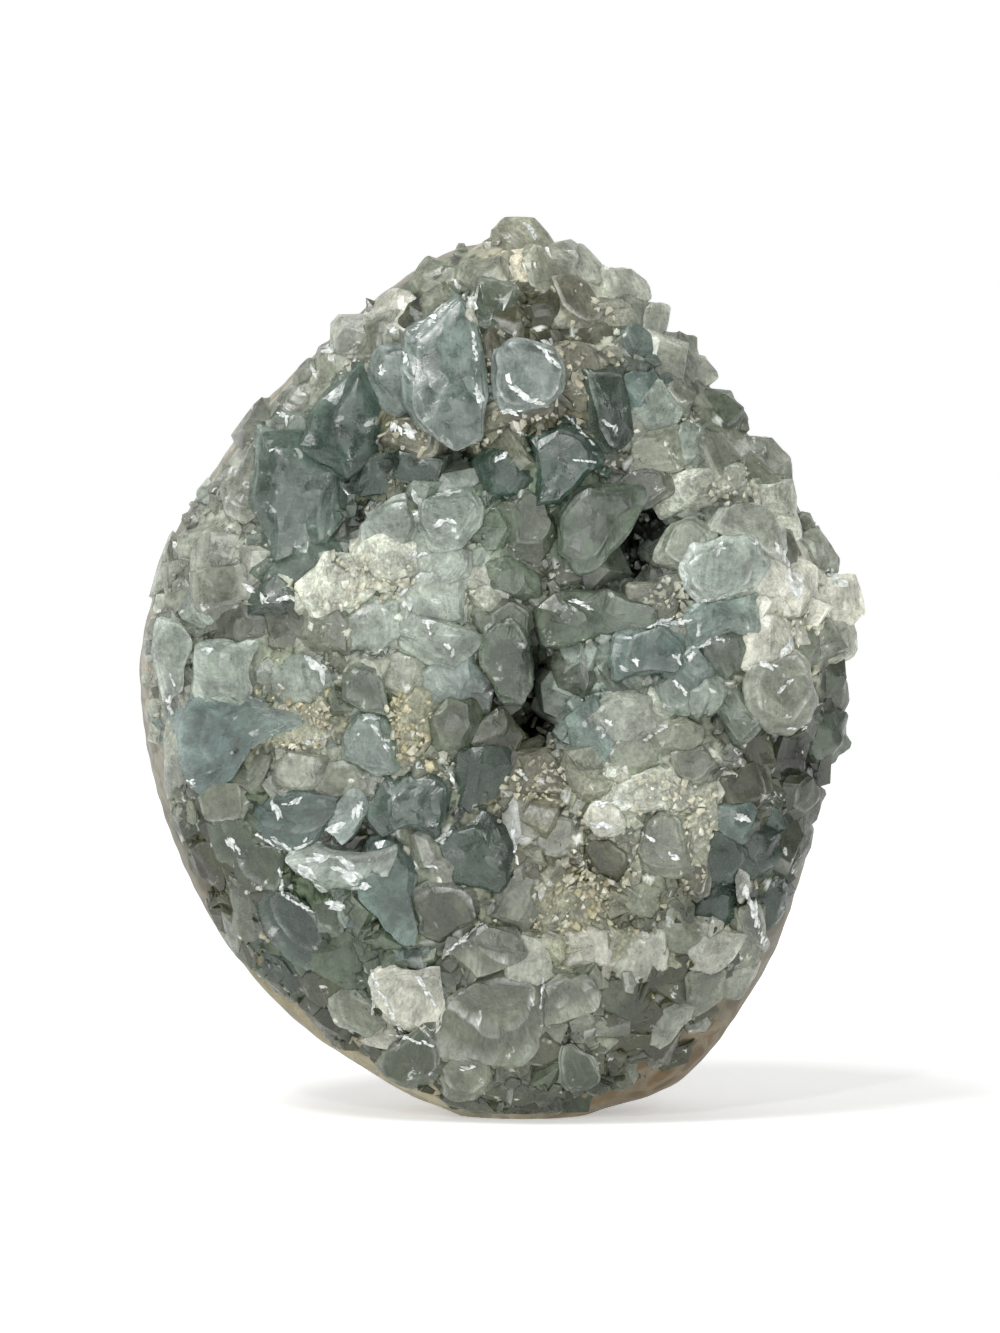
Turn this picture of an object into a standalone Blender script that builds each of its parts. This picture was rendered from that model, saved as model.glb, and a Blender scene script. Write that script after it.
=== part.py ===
"""Celestite geode: a ground teardrop of matrix whose face carries one crust of grown-together crystals.

Frame: metres, +Z up. The origin is on the ground plane, under the middle of the part's box. The crystal face
looks along -Y and the ground back along +Y. Lengths below are in millimetres and MM turns them to metres.
"""

import math
import random

import bmesh
import bpy
import numpy as np
from mathutils import Matrix, Vector

MM = 0.001

# Driving sizes, in millimetres
MIDDLE_X = 0.0
MIDDLE_Z = 43.0
WIDEST_Y = -4.4
BACK_DEPTH = 27.5
DOME_DEPTH = 14.0
BED_DEPTH = 2.4
CRYSTAL_REACH = 28.0
TOUCH_GAP = 0.3
FOOT_CLEARANCE = 0.6
BODY_SQUARENESS = 2.5
REACH_SQUARENESS = 4.5
SMOOTH_STEPS = 12
FLAT_WITHIN = 1.0
UNEVEN = 0.9
STONE_SIDES = 40
STONE_RINGS = 22
BED_SIDES = 30
BED_RINGS = 16
BED_BACK = 6.0
BED_EDGE = -1.5
BED_OVERHANG = 0.8
LIMIT_SIDES = 44
LIMIT_RINGS = 26

# The ground stone's outline seen from the front, as (x, z), anticlockwise from the right
STONE_OUTLINE = (
    (33.0, 45.0), (32.0, 54.0), (28.8, 61.4), (24.8, 67.0), (20.8, 72.0), (16.0, 77.6), (10.2, 82.8),
    (4.0, 86.8), (-3.6, 86.8), (-10.6, 82.9), (-17.2, 77.2), (-23.7, 70.7), (-29.4, 63.2), (-33.7, 55.6),
    (-35.9, 46.0), (-34.8, 36.6), (-31.6, 26.2), (-27.0, 16.8), (-20.4, 9.4), (-12.4, 4.0), (-4.8, 0.1),
    (2.6, -1.9), (9.6, 0.1), (18.4, 3.9), (25.4, 12.4), (29.6, 22.0), (32.0, 33.4),
)
# How far crystals may stand outside that outline, as (degrees anticlockwise from the right, millimetres)
OVERHANG = (
    (-180, 0.1), (-60, 0.1), (-40, 0.8), (-20, 2.2), (10, 3.0), (60, 3.2), (92, 3.2), (106, 0.8), (130, 0.2),
    (180, 0.1),
)

# Hollows of the face, as (x, z, half width, half height, depth)
HOLLOWS = (
    (6.0, 50.0, 21.0, 26.0, 3.0),
    (3.6, 45.6, 2.2, 6.6, 4.5),
    (2.6, 40.2, 3.4, 2.8, 5.5),
    (12.6, 56.6, 3.6, 5.4, 5.5),
    (16.6, 61.2, 2.6, 2.6, 3.5),
    (-4.8, 65.4, 2.6, 2.0, 4.0),
    (-15.4, 58.6, 2.2, 1.9, 4.0),
    (29.4, 36.8, 3.0, 2.6, 3.0),
    (-13.4, 27.8, 2.2, 1.4, 2.5),
)

# Outlines of the crystals' heads in a unit square, anticlockwise
HEAD_OUTLINES = {
    "kite": ((0.18, 0.50), (-0.28, 0.22), (-0.50, -0.22), (-0.25, -0.46), (0.20, -0.50), (0.46, -0.26),
             (0.48, 0.05)),
    "shield": ((-0.43, 0.48), (-0.50, 0.08), (-0.28, -0.36), (0.05, -0.50), (0.36, -0.31), (0.50, 0.20),
               (0.08, 0.50)),
    "slate": ((-0.40, 0.50), (-0.45, 0.02), (-0.26, -0.50), (0.25, -0.36), (0.46, -0.12), (0.50, 0.08),
              (0.02, 0.49)),
    "tooth": ((0.09, 0.50), (-0.30, 0.20), (-0.50, -0.20), (-0.05, -0.50), (0.40, -0.30), (0.50, 0.05)),
    "block": ((-0.50, 0.40), (-0.46, -0.46), (0.34, -0.50), (0.50, -0.30), (0.46, 0.50)),
    "hex": ((0.00, 0.50), (-0.50, 0.22), (-0.42, -0.30), (0.08, -0.50), (0.50, -0.20), (0.44, 0.26)),
    "slab": ((-0.40, 0.50), (-0.50, -0.36), (-0.24, -0.50), (0.46, -0.46), (0.50, 0.40)),
    "wedge": ((-0.10, 0.50), (-0.44, 0.08), (-0.50, -0.40), (0.30, -0.50), (0.50, -0.24)),
    "diamond": ((0.04, 0.50), (-0.50, 0.02), (-0.06, -0.50), (0.50, -0.06)),
    "round": ((-0.10, 0.50), (-0.50, 0.20), (-0.42, -0.34), (0.06, -0.50), (0.50, -0.24), (0.42, 0.34)),
}
# Crown of each head: width and height left at the top, its sideways and upward shift, and crown depth by size
CROWNS = {
    "kite": (0.62, 0.72, 0.05, -0.04, 0.15),
    "shield": (0.68, 0.70, -0.02, 0.00, 0.17),
    "slate": (0.62, 0.20, 0.04, 0.14, 0.22),
    "tooth": (0.14, 0.62, 0.06, -0.02, 0.26),
    "block": (0.34, 0.56, -0.12, 0.08, 0.26),
    "hex": (0.20, 0.40, 0.08, 0.10, 0.32),
    "slab": (0.14, 0.66, -0.10, 0.00, 0.30),
    "wedge": (0.10, 0.20, 0.04, 0.04, 0.42),
    "diamond": (0.10, 0.12, 0.02, 0.04, 0.40),
    "round": (0.50, 0.50, -0.04, 0.08, 0.22),
}
ROOT_SCALE = 0.94
STEEPEST = 2.2
RIM_SHARE = 0.88
RIM_SLOPE = 1.3
SLOPE_FOLLOWED = 0.62
GROWN_INTO = 1.12
ROOT_BELOW_BED = 1.2
SLANT_RANGE = 0.16
SLANT_SEED = 41

# The main crystals: head form, x, z, width, height, turn, lean right, lean up (degrees) and proud of the bed
CRYSTALS = (
    ("round", 2.0, 88.3, 5.2, 6.2, 0, 0, 10, 1.6),
    ("block", 4.8, 85.4, 4.0, 6.4, 0, 4, 6, 1.4),
    ("block", 7.8, 86.4, 5.0, 4.4, -6, 6, 9, 2.2),
    ("block", 8.4, 82.0, 5.2, 5.2, 0, 8, 0, 1.2),
    ("block", -10.2, 81.0, 5.8, 6.0, -35, -4, 10, 0.8),
    ("block", -0.4, 81.4, 4.2, 6.2, 0, 0, 4, 2.0),
    ("wedge", -3.0, 80.8, 2.2, 4.4, 10, 8, 6, 3.4),
    ("kite", -5.9, 74.7, 8.6, 13.7, 0, 3, 6, 4.2),
    ("hex", -10.4, 73.2, 5.4, 6.0, 10, -8, 8, 2.8),
    ("shield", 3.0, 74.5, 6.8, 7.2, 0, 2, 4, 4.4),
    ("block", 4.6, 80.2, 5.6, 4.8, 0, 2, -8, 0.8),
    ("block", 12.6, 81.8, 4.6, 4.6, -10, 4, 7, 1.6),
    ("slab", 15.9, 79.4, 2.8, 4.6, 50, 5, 7, 1.6),
    ("hex", 14.0, 77.6, 4.2, 3.6, 0, 6, 10, 1.8),
    ("block", 19.2, 75.2, 5.6, 3.8, -10, 5, 4, 2.2),
    ("slab", 10.9, 71.6, 4.0, 7.4, 4, 4, 2, 3.0),
    ("block", 14.6, 74.2, 4.8, 3.4, 0, 4, 8, 2.2),
    ("hex", 18.2, 72.2, 4.8, 4.4, 0, 10, 2, 2.0),
    ("hex", 15.0, 70.6, 5.2, 5.2, 12, 4, 0, 2.4),
    ("round", 22.2, 70.8, 4.8, 5.0, 0, 6, 4, 2.0),
    ("hex", 18.8, 67.6, 4.6, 4.4, 0, 6, 0, 1.8),
    ("round", 27.0, 66.2, 5.2, 5.0, 0, 7, 8, 1.8),
    ("block", 27.8, 61.4, 5.6, 4.8, 0, 5, 4, 2.0),
    ("slab", 22.2, 63.6, 3.6, 6.8, 84, 6, 2, 1.8),
    ("block", -16.6, 76.6, 4.6, 5.6, -30, -5, 10, 1.8),
    ("block", -12.9, 77.8, 4.8, 6.0, -15, -8, 6, 1.2),
    ("tooth", -14.8, 69.4, 8.8, 11.0, 0, 2, 4, 3.6),
    ("hex", -21.6, 68.8, 6.4, 4.0, 0, -8, 10, 2.2),
    ("slate", -19.8, 62.2, 9.0, 11.8, 0, 4, 6, 4.0),
    ("hex", -20.0, 56.2, 7.0, 6.8, 0, -2, -6, 2.6),
    ("slab", -25.2, 64.4, 5.0, 7.2, -18, -4, 4, 2.2),
    ("hex", -24.6, 59.6, 5.2, 5.6, 0, -8, 0, 2.2),
    ("round", -28.8, 57.6, 4.8, 4.8, 0, -5, 2, 1.6),
    ("block", -27.2, 53.4, 7.0, 4.6, 0, -8, -4, 1.8),
    ("hex", -22.4, 52.4, 5.4, 3.6, 0, -2, 8, 2.4),
    ("round", -25.2, 49.6, 6.2, 4.4, 0, -6, 4, 2.0),
    ("slab", -32.4, 46.0, 4.2, 8.2, 4, -7, 0, 1.6),
    ("block", -26.8, 45.0, 9.0, 5.8, -4, -4, 6, 3.2),
    ("block", -28.4, 38.0, 9.4, 9.4, -3, -6, -2, 3.8),
    ("block", -12.6, 64.0, 5.0, 4.8, 0, 0, -8, 1.4),
    ("block", -8.8, 68.6, 4.2, 3.6, 0, 0, 4, 2.4),
    ("hex", 0.2, 64.6, 4.8, 5.6, 0, -4, 4, 2.6),
    ("hex", 6.0, 66.0, 8.0, 8.2, 8, 2, 4, 3.2),
    ("slab", 9.4, 59.0, 7.4, 8.6, -24, 2, 4, 3.4),
    ("hex", 3.2, 59.4, 6.0, 7.0, 0, 4, 2, 2.6),
    ("hex", 0.4, 53.8, 5.4, 4.4, 0, 0, 4, 2.6),
    ("hex", -11.6, 60.2, 5.8, 6.0, 0, -4, 6, 3.2),
    ("block", -7.4, 61.0, 5.2, 5.8, 0, 0, 10, 3.8),
    ("hex", -3.6, 60.4, 5.0, 6.0, 12, 4, 6, 3.6),
    ("block", -5.8, 56.8, 7.0, 4.8, 0, 0, 0, 3.6),
    ("round", -10.6, 55.6, 5.6, 4.8, 0, -2, 0, 3.0),
    ("round", -15.8, 53.8, 6.8, 4.8, 0, -4, 6, 2.8),
    ("round", -5.6, 52.8, 5.4, 4.8, 0, 2, 0, 3.0),
    ("round", -12.8, 49.6, 5.4, 4.6, 0, 0, 0, 2.6),
    ("slab", -6.6, 48.8, 4.4, 8.0, 92, 0, 6, 3.0),
    ("hex", -4.8, 44.8, 7.0, 6.4, 0, 0, 2, 2.8),
    ("hex", -0.4, 49.2, 4.8, 5.8, 0, 4, 0, 2.8),
    ("slab", 0.3, 44.4, 4.8, 6.8, 4, 4, 0, 3.0),
    ("round", 8.0, 50.6, 6.8, 5.6, 0, 0, 2, 3.2),
    ("hex", 8.2, 45.2, 5.2, 5.4, 0, -2, 0, 1.8),
    ("hex", 14.3, 46.2, 7.2, 6.4, 6, 2, 6, 3.4),
    ("hex", 22.2, 46.4, 4.8, 4.8, 0, 6, 0, 2.4),
    ("diamond", 20.0, 42.2, 4.8, 5.4, 0, 4, 4, 3.2),
    ("hex", 9.6, 39.6, 5.6, 6.2, 0, 0, 2, 2.8),
    ("round", 13.6, 40.2, 6.4, 5.4, 0, 2, 0, 3.0),
    ("round", 19.6, 36.0, 5.0, 4.0, 0, 4, -2, 2.4),
    ("round", 21.2, 54.6, 7.0, 5.8, 0, 4, 2, 3.6),
    ("block", 22.8, 59.0, 7.0, 4.6, 0, 6, 8, 3.0),
    ("round", 18.2, 58.0, 4.8, 4.4, 0, -4, 4, 2.8),
    ("round", 26.2, 55.4, 5.4, 5.8, 0, 8, 4, 3.2),
    ("block", 32.0, 56.6, 4.0, 4.2, 0, 8, 6, 1.6),
    ("round", 29.6, 53.2, 5.4, 5.6, 0, 5, 2, 2.8),
    ("round", 34.9, 52.6, 4.4, 4.8, 0, 10, 2, 1.8),
    ("block", 34.5, 48.4, 4.8, 5.0, 0, 8, 0, 1.6),
    ("round", 27.2, 48.0, 5.6, 5.8, 0, 10, 0, 3.0),
    ("slab", 21.8, 50.4, 3.8, 6.4, 88, 4, 0, 2.8),
    ("round", 27.8, 42.0, 7.2, 6.8, 0, 10, 0, 3.6),
    ("block", 34.0, 43.6, 5.0, 5.8, 0, 8, 0, 1.6),
    ("round", 33.6, 38.4, 4.8, 5.4, 0, 9, -4, 1.8),
    ("hex", 30.2, 31.6, 6.2, 5.4, 0, 5, -4, 1.6),
    ("hex", 23.7, 30.9, 4.4, 4.2, 0, 6, 8, 2.4),
    ("hex", 22.0, 26.6, 5.0, 5.2, 0, 4, -2, 1.8),
    ("hex", 26.4, 26.8, 5.4, 5.8, 10, 10, -4, 1.8),
    ("hex", 21.8, 22.0, 5.2, 5.4, 0, 4, -4, 1.6),
    ("block", 27.6, 21.6, 4.8, 5.4, -20, 4, -6, 1.2),
    ("wedge", 24.8, 22.0, 2.8, 6.6, 4, 0, 4, 3.0),
    ("slab", 25.2, 17.6, 4.2, 5.4, -20, 8, -6, 1.8),
    ("block", 15.0, 33.0, 7.0, 5.4, -4, 2, 2, 3.0),
    ("slab", 20.0, 31.6, 4.2, 5.8, 0, 4, 0, 2.4),
    ("round", 10.5, 30.9, 4.2, 4.0, 0, 0, 2, 3.0),
    ("hex", 15.8, 28.0, 5.8, 6.6, 0, 2, 4, 3.0),
    ("round", 5.4, 29.0, 6.0, 6.0, 0, 0, 0, 1.0),
    ("block", 2.2, 22.6, 5.0, 5.8, 0, 0, -2, 1.6),
    ("round", 7.6, 22.4, 6.4, 5.4, 0, 0, -2, 1.4),
    ("block", 14.4, 22.8, 6.4, 5.2, 0, 2, -2, 2.0),
    ("round", 13.0, 17.2, 5.4, 5.0, 0, 2, -4, 1.8),
    ("hex", 17.6, 18.8, 5.0, 4.8, 0, 4, -4, 1.6),
    ("round", 7.0, 12.4, 5.8, 6.2, 0, 0, -6, 2.2),
    ("round", 12.8, 12.4, 6.0, 4.0, 0, 2, -8, 1.2),
    ("round", 20.6, 13.4, 5.0, 5.4, 0, 6, -8, 1.2),
    ("round", 17.2, 9.4, 4.6, 5.0, 0, 4, -6, 0.7),
    ("round", -20.8, 30.7, 7.0, 6.9, 0, -4, 2, 3.0),
    ("round", -19.7, 35.4, 5.0, 4.2, 0, -4, 4, 2.6),
    ("hex", -26.4, 27.8, 5.4, 5.2, 0, -10, -2, 1.8),
    ("block", -23.2, 25.0, 5.4, 5.8, 0, -8, -4, 2.0),
    ("hex", -17.3, 24.1, 9.0, 7.0, 6, -2, 6, 4.0),
    ("block", -15.2, 30.2, 4.4, 4.4, 0, 0, 6, 2.8),
    ("wedge", -13.4, 43.2, 5.2, 5.6, 0, 0, 0, 2.8),
    ("hex", -12.8, 38.0, 6.8, 6.6, 6, 0, 6, 3.4),
    ("hex", -19.6, 44.8, 5.6, 5.0, 0, -2, 4, 2.6),
    ("round", -19.4, 40.2, 6.6, 4.8, 0, -2, 0, 2.2),
    ("round", -8.8, 40.2, 5.0, 7.0, 0, 0, 0, 2.2),
    ("round", -8.4, 32.0, 8.8, 8.8, 0, -2, 4, 3.6),
    ("hex", -4.6, 39.4, 5.4, 6.0, 0, 2, 0, 2.6),
    ("block", -1.8, 34.2, 5.8, 6.4, 0, 2, -2, 2.4),
    ("hex", -1.8, 28.3, 7.0, 6.6, 0, 2, 2, 3.2),
    ("block", -5.0, 21.6, 7.4, 5.8, 0, 0, -4, 2.2),
    ("slab", -10.7, 22.4, 5.0, 10.8, 2, -2, 0, 3.0),
    ("round", -21.0, 19.4, 7.0, 7.4, 0, -6, -6, 2.0),
    ("slab", -26.0, 20.4, 4.6, 7.2, 38, -4, -8, 1.0),
    ("slab", -15.2, 17.0, 5.0, 6.2, 70, -2, -8, 1.6),
    ("slab", -1.8, 17.8, 5.2, 7.4, -76, 0, 0, 2.6),
    ("round", 3.4, 17.6, 4.4, 4.6, 0, 2, -2, 2.4),
    ("round", -0.7, 10.8, 10.6, 9.6, 0, 0, -6, 2.8),
    ("shield", -9.2, 12.0, 7.6, 8.2, 200, -2, -2, 3.2),
    ("block", -8.8, 6.2, 6.0, 5.6, 0, -2, -8, 0.5),
    ("round", -3.2, 5.2, 5.8, 4.6, 0, 0, -9, 0.5),
    ("round", 8.4, 5.6, 4.8, 4.8, 0, 2, -9, 0.4),
)

# Finish of each piece: colour, roughness, metallic value and transmission
FINISHES = {
    "matrix": ((0.36, 0.35, 0.30), 0.62, 0.0, 0.0),
    "crystal_crust": ((0.22, 0.31, 0.30), 0.16, 0.0, 0.55),
}


def closed_curve(points, steps):
    """Points of the smooth closed curve (Catmull-Rom) through the given ones, steps to each stretch."""
    knots = np.array(points, float)
    before, after, last = (np.roll(knots, k, axis=0) for k in (1, -1, -2))
    t = (np.arange(steps) / steps)[None, :, None]
    a, b, c, d = (k[:, None, :] for k in (before, knots, after, last))
    curve = 0.5 * (2 * b + (c - a) * t + (2 * a - 5 * b + 4 * c - d) * t**2 + (3 * b - a - 3 * c + d) * t**3)
    return curve.reshape(-1, 2)


def polar_outline(points):
    """The outline as two arrays, angle and radius about the middle, in order of angle."""
    curve = closed_curve(points, SMOOTH_STEPS) - (MIDDLE_X, MIDDLE_Z)
    angle = np.arctan2(curve[:, 1], curve[:, 0])
    order = np.argsort(angle)
    return angle[order], np.hypot(curve[:, 0], curve[:, 1])[order]


OUTLINE_ANGLE, OUTLINE_RADIUS = polar_outline(STONE_OUTLINE)
OVERHANG_ANGLE, OVERHANG_SIZE = (np.array(column, float) for column in zip(*OVERHANG))


def stone_radius(angle):
    """Distance from the middle to the ground stone's outline at this angle."""
    return np.interp(angle, OUTLINE_ANGLE, OUTLINE_RADIUS, period=2 * math.pi)


def overhang(angle):
    """How far crystals may reach outside the outline at this angle."""
    return float(np.interp(math.degrees(angle), OVERHANG_ANGLE, OVERHANG_SIZE, period=360.0))


def bed_edge(angle):
    """How far the bed under the crystals reaches outside the outline at this angle."""
    return BED_EDGE + BED_OVERHANG * overhang(angle)


def no_edge(_angle):
    return 0.0


def hollow_depth(x, z, rows=HOLLOWS):
    """Depth of the face's hollows at this place: bell-shaped dips added together."""
    depth = 0.0
    for hollow_x, hollow_z, half_width, half_height, deep in rows:
        square = ((x - hollow_x) / half_width) ** 2 + ((z - hollow_z) / half_height) ** 2
        depth = depth + deep * np.exp(-square)
    return depth


def face_y(x, z, lift=0.0, rows=HOLLOWS):
    """Y of the stone's face at this place, brought forward by lift."""
    angle = np.arctan2(z - MIDDLE_Z, x - MIDDLE_X)
    share = np.hypot(x - MIDDLE_X, z - MIDDLE_Z) / stone_radius(angle)
    share = np.clip(share, 0.0, 0.995)
    bulge = (1 - share**BODY_SQUARENESS) ** (1 / BODY_SQUARENESS)
    return WIDEST_Y - (DOME_DEPTH + lift) * bulge + hollow_depth(x, z, rows) * bulge


def growth_y(x, z):
    """Y of the slope that crystals lean by: the face brought forward, and a straight slope back near the rim."""
    away = math.hypot(x - MIDDLE_X, z - MIDDLE_Z)
    edge = RIM_SHARE * float(stone_radius(math.atan2(z - MIDDLE_Z, x - MIDDLE_X)))
    inward = min(1.0, edge / max(away, 1e-6))
    inner_x, inner_z = MIDDLE_X + (x - MIDDLE_X) * inward, MIDDLE_Z + (z - MIDDLE_Z) * inward
    return float(face_y(inner_x, inner_z, BED_DEPTH, HOLLOWS[:1])) + max(0.0, away - edge) * RIM_SLOPE


def top_y(x, z):
    """Y that a crystal stands proud of: the growth slope, or the bed where that stands further forward."""
    return min(growth_y(x, z), float(face_y(x, z, BED_DEPTH, HOLLOWS[:1])))


def back_wave(x, z):
    """Soft swells of the ground back, from about -1 to 1: two crossed sine waves added."""
    crossed = math.sin(0.13 * x + 0.9) * math.sin(0.11 * z + 0.4)
    return 0.6 * crossed + 0.4 * math.sin(0.21 * z - 0.17 * x + 2.0)


def teardrop(name, sides, rings, front, back, squareness, grow, hollow):
    """A closed body on the stone's outline: a sphere whose rings take the outline's shape.

    Front and back bulge by a superellipse. Grow gives how far outside the outline the body reaches at each
    angle, and hollow sinks the face's hollows into the front.
    """
    shape = bmesh.new()
    bmesh.ops.create_uvsphere(shape, u_segments=sides, v_segments=rings, radius=1.0)
    power = 2 / squareness
    for vert in shape.verts:
        right, up, ahead = vert.co
        angle = math.atan2(up, right)
        share = math.hypot(right, up) ** power
        radius = float(stone_radius(angle)) + grow(angle)
        x = MIDDLE_X + radius * share * math.cos(angle)
        z = MIDDLE_Z + radius * share * math.sin(angle)
        bulge = abs(ahead) ** power
        if ahead > 0:
            y = WIDEST_Y - front * bulge
            y += float(hollow_depth(x, z)) * bulge if hollow else 0.0
        else:
            y = WIDEST_Y + (back + UNEVEN * back_wave(x, z)) * bulge
        vert.co = Vector((x, y, z)) * MM
    return finish_mesh(shape, name)


def face_out(shape):
    bmesh.ops.recalc_face_normals(shape, faces=shape.faces)
    if shape.calc_volume(signed=True) < 0:
        bmesh.ops.reverse_faces(shape, faces=shape.faces)


def finish_mesh(shape, name):
    """Turns the faces out and makes a mesh of the shape."""
    face_out(shape)
    mesh = bpy.data.meshes.new(name)
    shape.to_mesh(mesh)
    shape.free()
    return mesh


def grown_copy(mesh, name, distance):
    """A copy of the mesh with every corner moved out along its normal by this distance."""
    shape = bmesh.new()
    shape.from_mesh(mesh)
    shape.normal_update()
    moves = [(vert, vert.normal * distance * MM) for vert in shape.verts]
    for vert, move in moves:
        vert.co += move
    return finish_mesh(shape, name)


def cut_below(mesh, height):
    """Cuts the mesh flat at this height and closes the cut."""
    shape = bmesh.new()
    shape.from_mesh(mesh)
    everything = list(shape.verts) + list(shape.edges) + list(shape.faces)
    cut = bmesh.ops.bisect_plane(
        shape, geom=everything, plane_co=(0, 0, height * MM), plane_no=(0, 0, -1), clear_outer=True
    )
    edges = [piece for piece in cut["geom_cut"] if isinstance(piece, bmesh.types.BMEdge)]
    bmesh.ops.contextual_create(shape, geom=edges)
    face_out(shape)
    shape.to_mesh(mesh)
    shape.free()


def axes_of(x, z, lean_right, lean_up, turn):
    """Axes of a crystal's head: across, up and out. Out is partly turned to the face's own slope."""
    slope_x = growth_y(x + 0.5, z) - growth_y(x - 0.5, z)
    slope_z = growth_y(x, z + 0.5) - growth_y(x, z - 0.5)
    slope = np.clip((slope_x, slope_z), -STEEPEST, STEEPEST) * SLOPE_FOLLOWED
    out = Vector((slope[0], -1.0, slope[1])).normalized()
    lean = Matrix.Rotation(math.radians(lean_right), 3, "Z") @ Matrix.Rotation(math.radians(-lean_up), 3, "X")
    out = (lean @ out).normalized()
    up = (Vector((0, 0, 1)) - out * out.z).normalized()
    up = Matrix.Rotation(math.radians(-turn), 3, out) @ up
    return up.cross(out), up, out


def head_points(row, slant):
    """Corners of one crystal, in millimetres: the root ring, the girdle at full size and the crown above it.

    Slant tips the crown, as its rise for each unit to the right and up.
    """
    form, x, z, wide, tall, turn, lean_right, lean_up, proud = row
    across, up, out = (np.array(v) for v in axes_of(x, z, lean_right, lean_up, turn))
    outline = np.array(HEAD_OUTLINES[form]) * (wide, tall) * GROWN_INTO
    keep_wide, keep_tall, shift_right, shift_up, deep = CROWNS[form]
    girdle = -deep * min(wide, tall) * GROWN_INTO
    root = -(BED_DEPTH + proud + ROOT_BELOW_BED + float(hollow_depth(x, z, HOLLOWS[1:])))
    crown = outline * (keep_wide, keep_tall) + (shift_right * wide, shift_up * tall)
    top = np.array((x, top_y(x, z) - proud, z))
    rings = ((outline * ROOT_SCALE, root + 0 * outline[:, 0]), (outline, girdle + 0 * outline[:, 0]),
             (crown, crown @ slant))
    flat = np.array((across, up))
    return np.concatenate([top + ring @ flat + height[:, None] * out for ring, height in rings])


def crystal_heads(rows):
    """One mesh with every crystal as its own closed convex body."""
    shape = bmesh.new()
    chance = random.Random(SLANT_SEED)
    for row in rows:
        slant = np.array([chance.uniform(-SLANT_RANGE, SLANT_RANGE) for _ in range(2)])
        corners = [shape.verts.new(point * MM) for point in head_points(row, slant)]
        hull = bmesh.ops.convex_hull(shape, input=corners)
        spare = [piece for piece in hull["geom_interior"] if isinstance(piece, bmesh.types.BMVert)]
        bmesh.ops.delete(shape, geom=spare, context="VERTS")
    return finish_mesh(shape, "crystal_heads")


def boolean(piece, kind, operand, solver):
    modifier = piece.modifiers.new(kind.lower(), "BOOLEAN")
    modifier.operation = kind
    modifier.solver = solver
    modifier.object = operand
    modifier.use_self = solver == "EXACT"


def merge_flat_faces(mesh):
    """Merges faces that lie in one plane, which the union leaves cut up."""
    shape = bmesh.new()
    shape.from_mesh(mesh)
    within = math.radians(FLAT_WITHIN)
    bmesh.ops.dissolve_limit(shape, angle_limit=within, verts=shape.verts, edges=shape.edges)
    bmesh.ops.triangulate(shape, faces=shape.faces)
    shape.to_mesh(mesh)
    shape.free()


def keep_largest_shell(mesh):
    """Keeps the mesh's largest connected shell, which leaves out sealed gaps and loose chips."""
    shape = bmesh.new()
    shape.from_mesh(mesh)
    unseen = set(shape.verts)
    shells = []
    while unseen:
        shell = set()
        front = [unseen.pop()]
        while front:
            vert = front.pop()
            shell.add(vert)
            for edge in vert.link_edges:
                other = edge.other_vert(vert)
                if other in unseen:
                    unseen.discard(other)
                    front.append(other)
        shells.append(shell)
    shells.sort(key=len)
    spare = [vert for shell in shells[:-1] for vert in shell]
    bmesh.ops.delete(shape, geom=spare, context="VERTS")
    shape.to_mesh(mesh)
    shape.free()


def evaluated_mesh(piece, name):
    graph = bpy.context.evaluated_depsgraph_get()
    mesh = bpy.data.meshes.new_from_object(piece.evaluated_get(graph))
    mesh.name = name
    return mesh


def finish_material(name):
    colour, roughness, metallic, clear = FINISHES[name]
    material = bpy.data.materials.new(name)
    material.use_nodes = True
    shader = material.node_tree.nodes["Principled BSDF"]
    shader.inputs["Base Color"].default_value = (*colour, 1.0)
    shader.inputs["Roughness"].default_value = roughness
    shader.inputs["Metallic"].default_value = metallic
    shader.inputs["Transmission Weight"].default_value = clear
    return material


def new_collection(name, hidden=False):
    group = bpy.data.collections.new(name)
    bpy.context.scene.collection.children.link(group)
    group.hide_render = hidden
    return group


def new_object(name, mesh, group, helper=False):
    piece = bpy.data.objects.new(name, mesh)
    group.objects.link(piece)
    if helper:
        piece.hide_render = True
        piece.display_type = "WIRE"
    return piece


def stone_body(name):
    """The whole teardrop of stone with its hollowed face, before its foot is ground flat."""
    return teardrop(name, STONE_SIDES, STONE_RINGS, DOME_DEPTH, BACK_DEPTH, BODY_SQUARENESS, no_edge, True)


def make_matrix(group):
    """The ground stone: teardrop body, hollowed face, and the flat spot that it stands on."""
    mesh = stone_body("matrix")
    cut_below(mesh, 0.0)
    piece = new_object("matrix", mesh, group)
    mesh.materials.append(finish_material("matrix"))
    return piece


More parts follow.
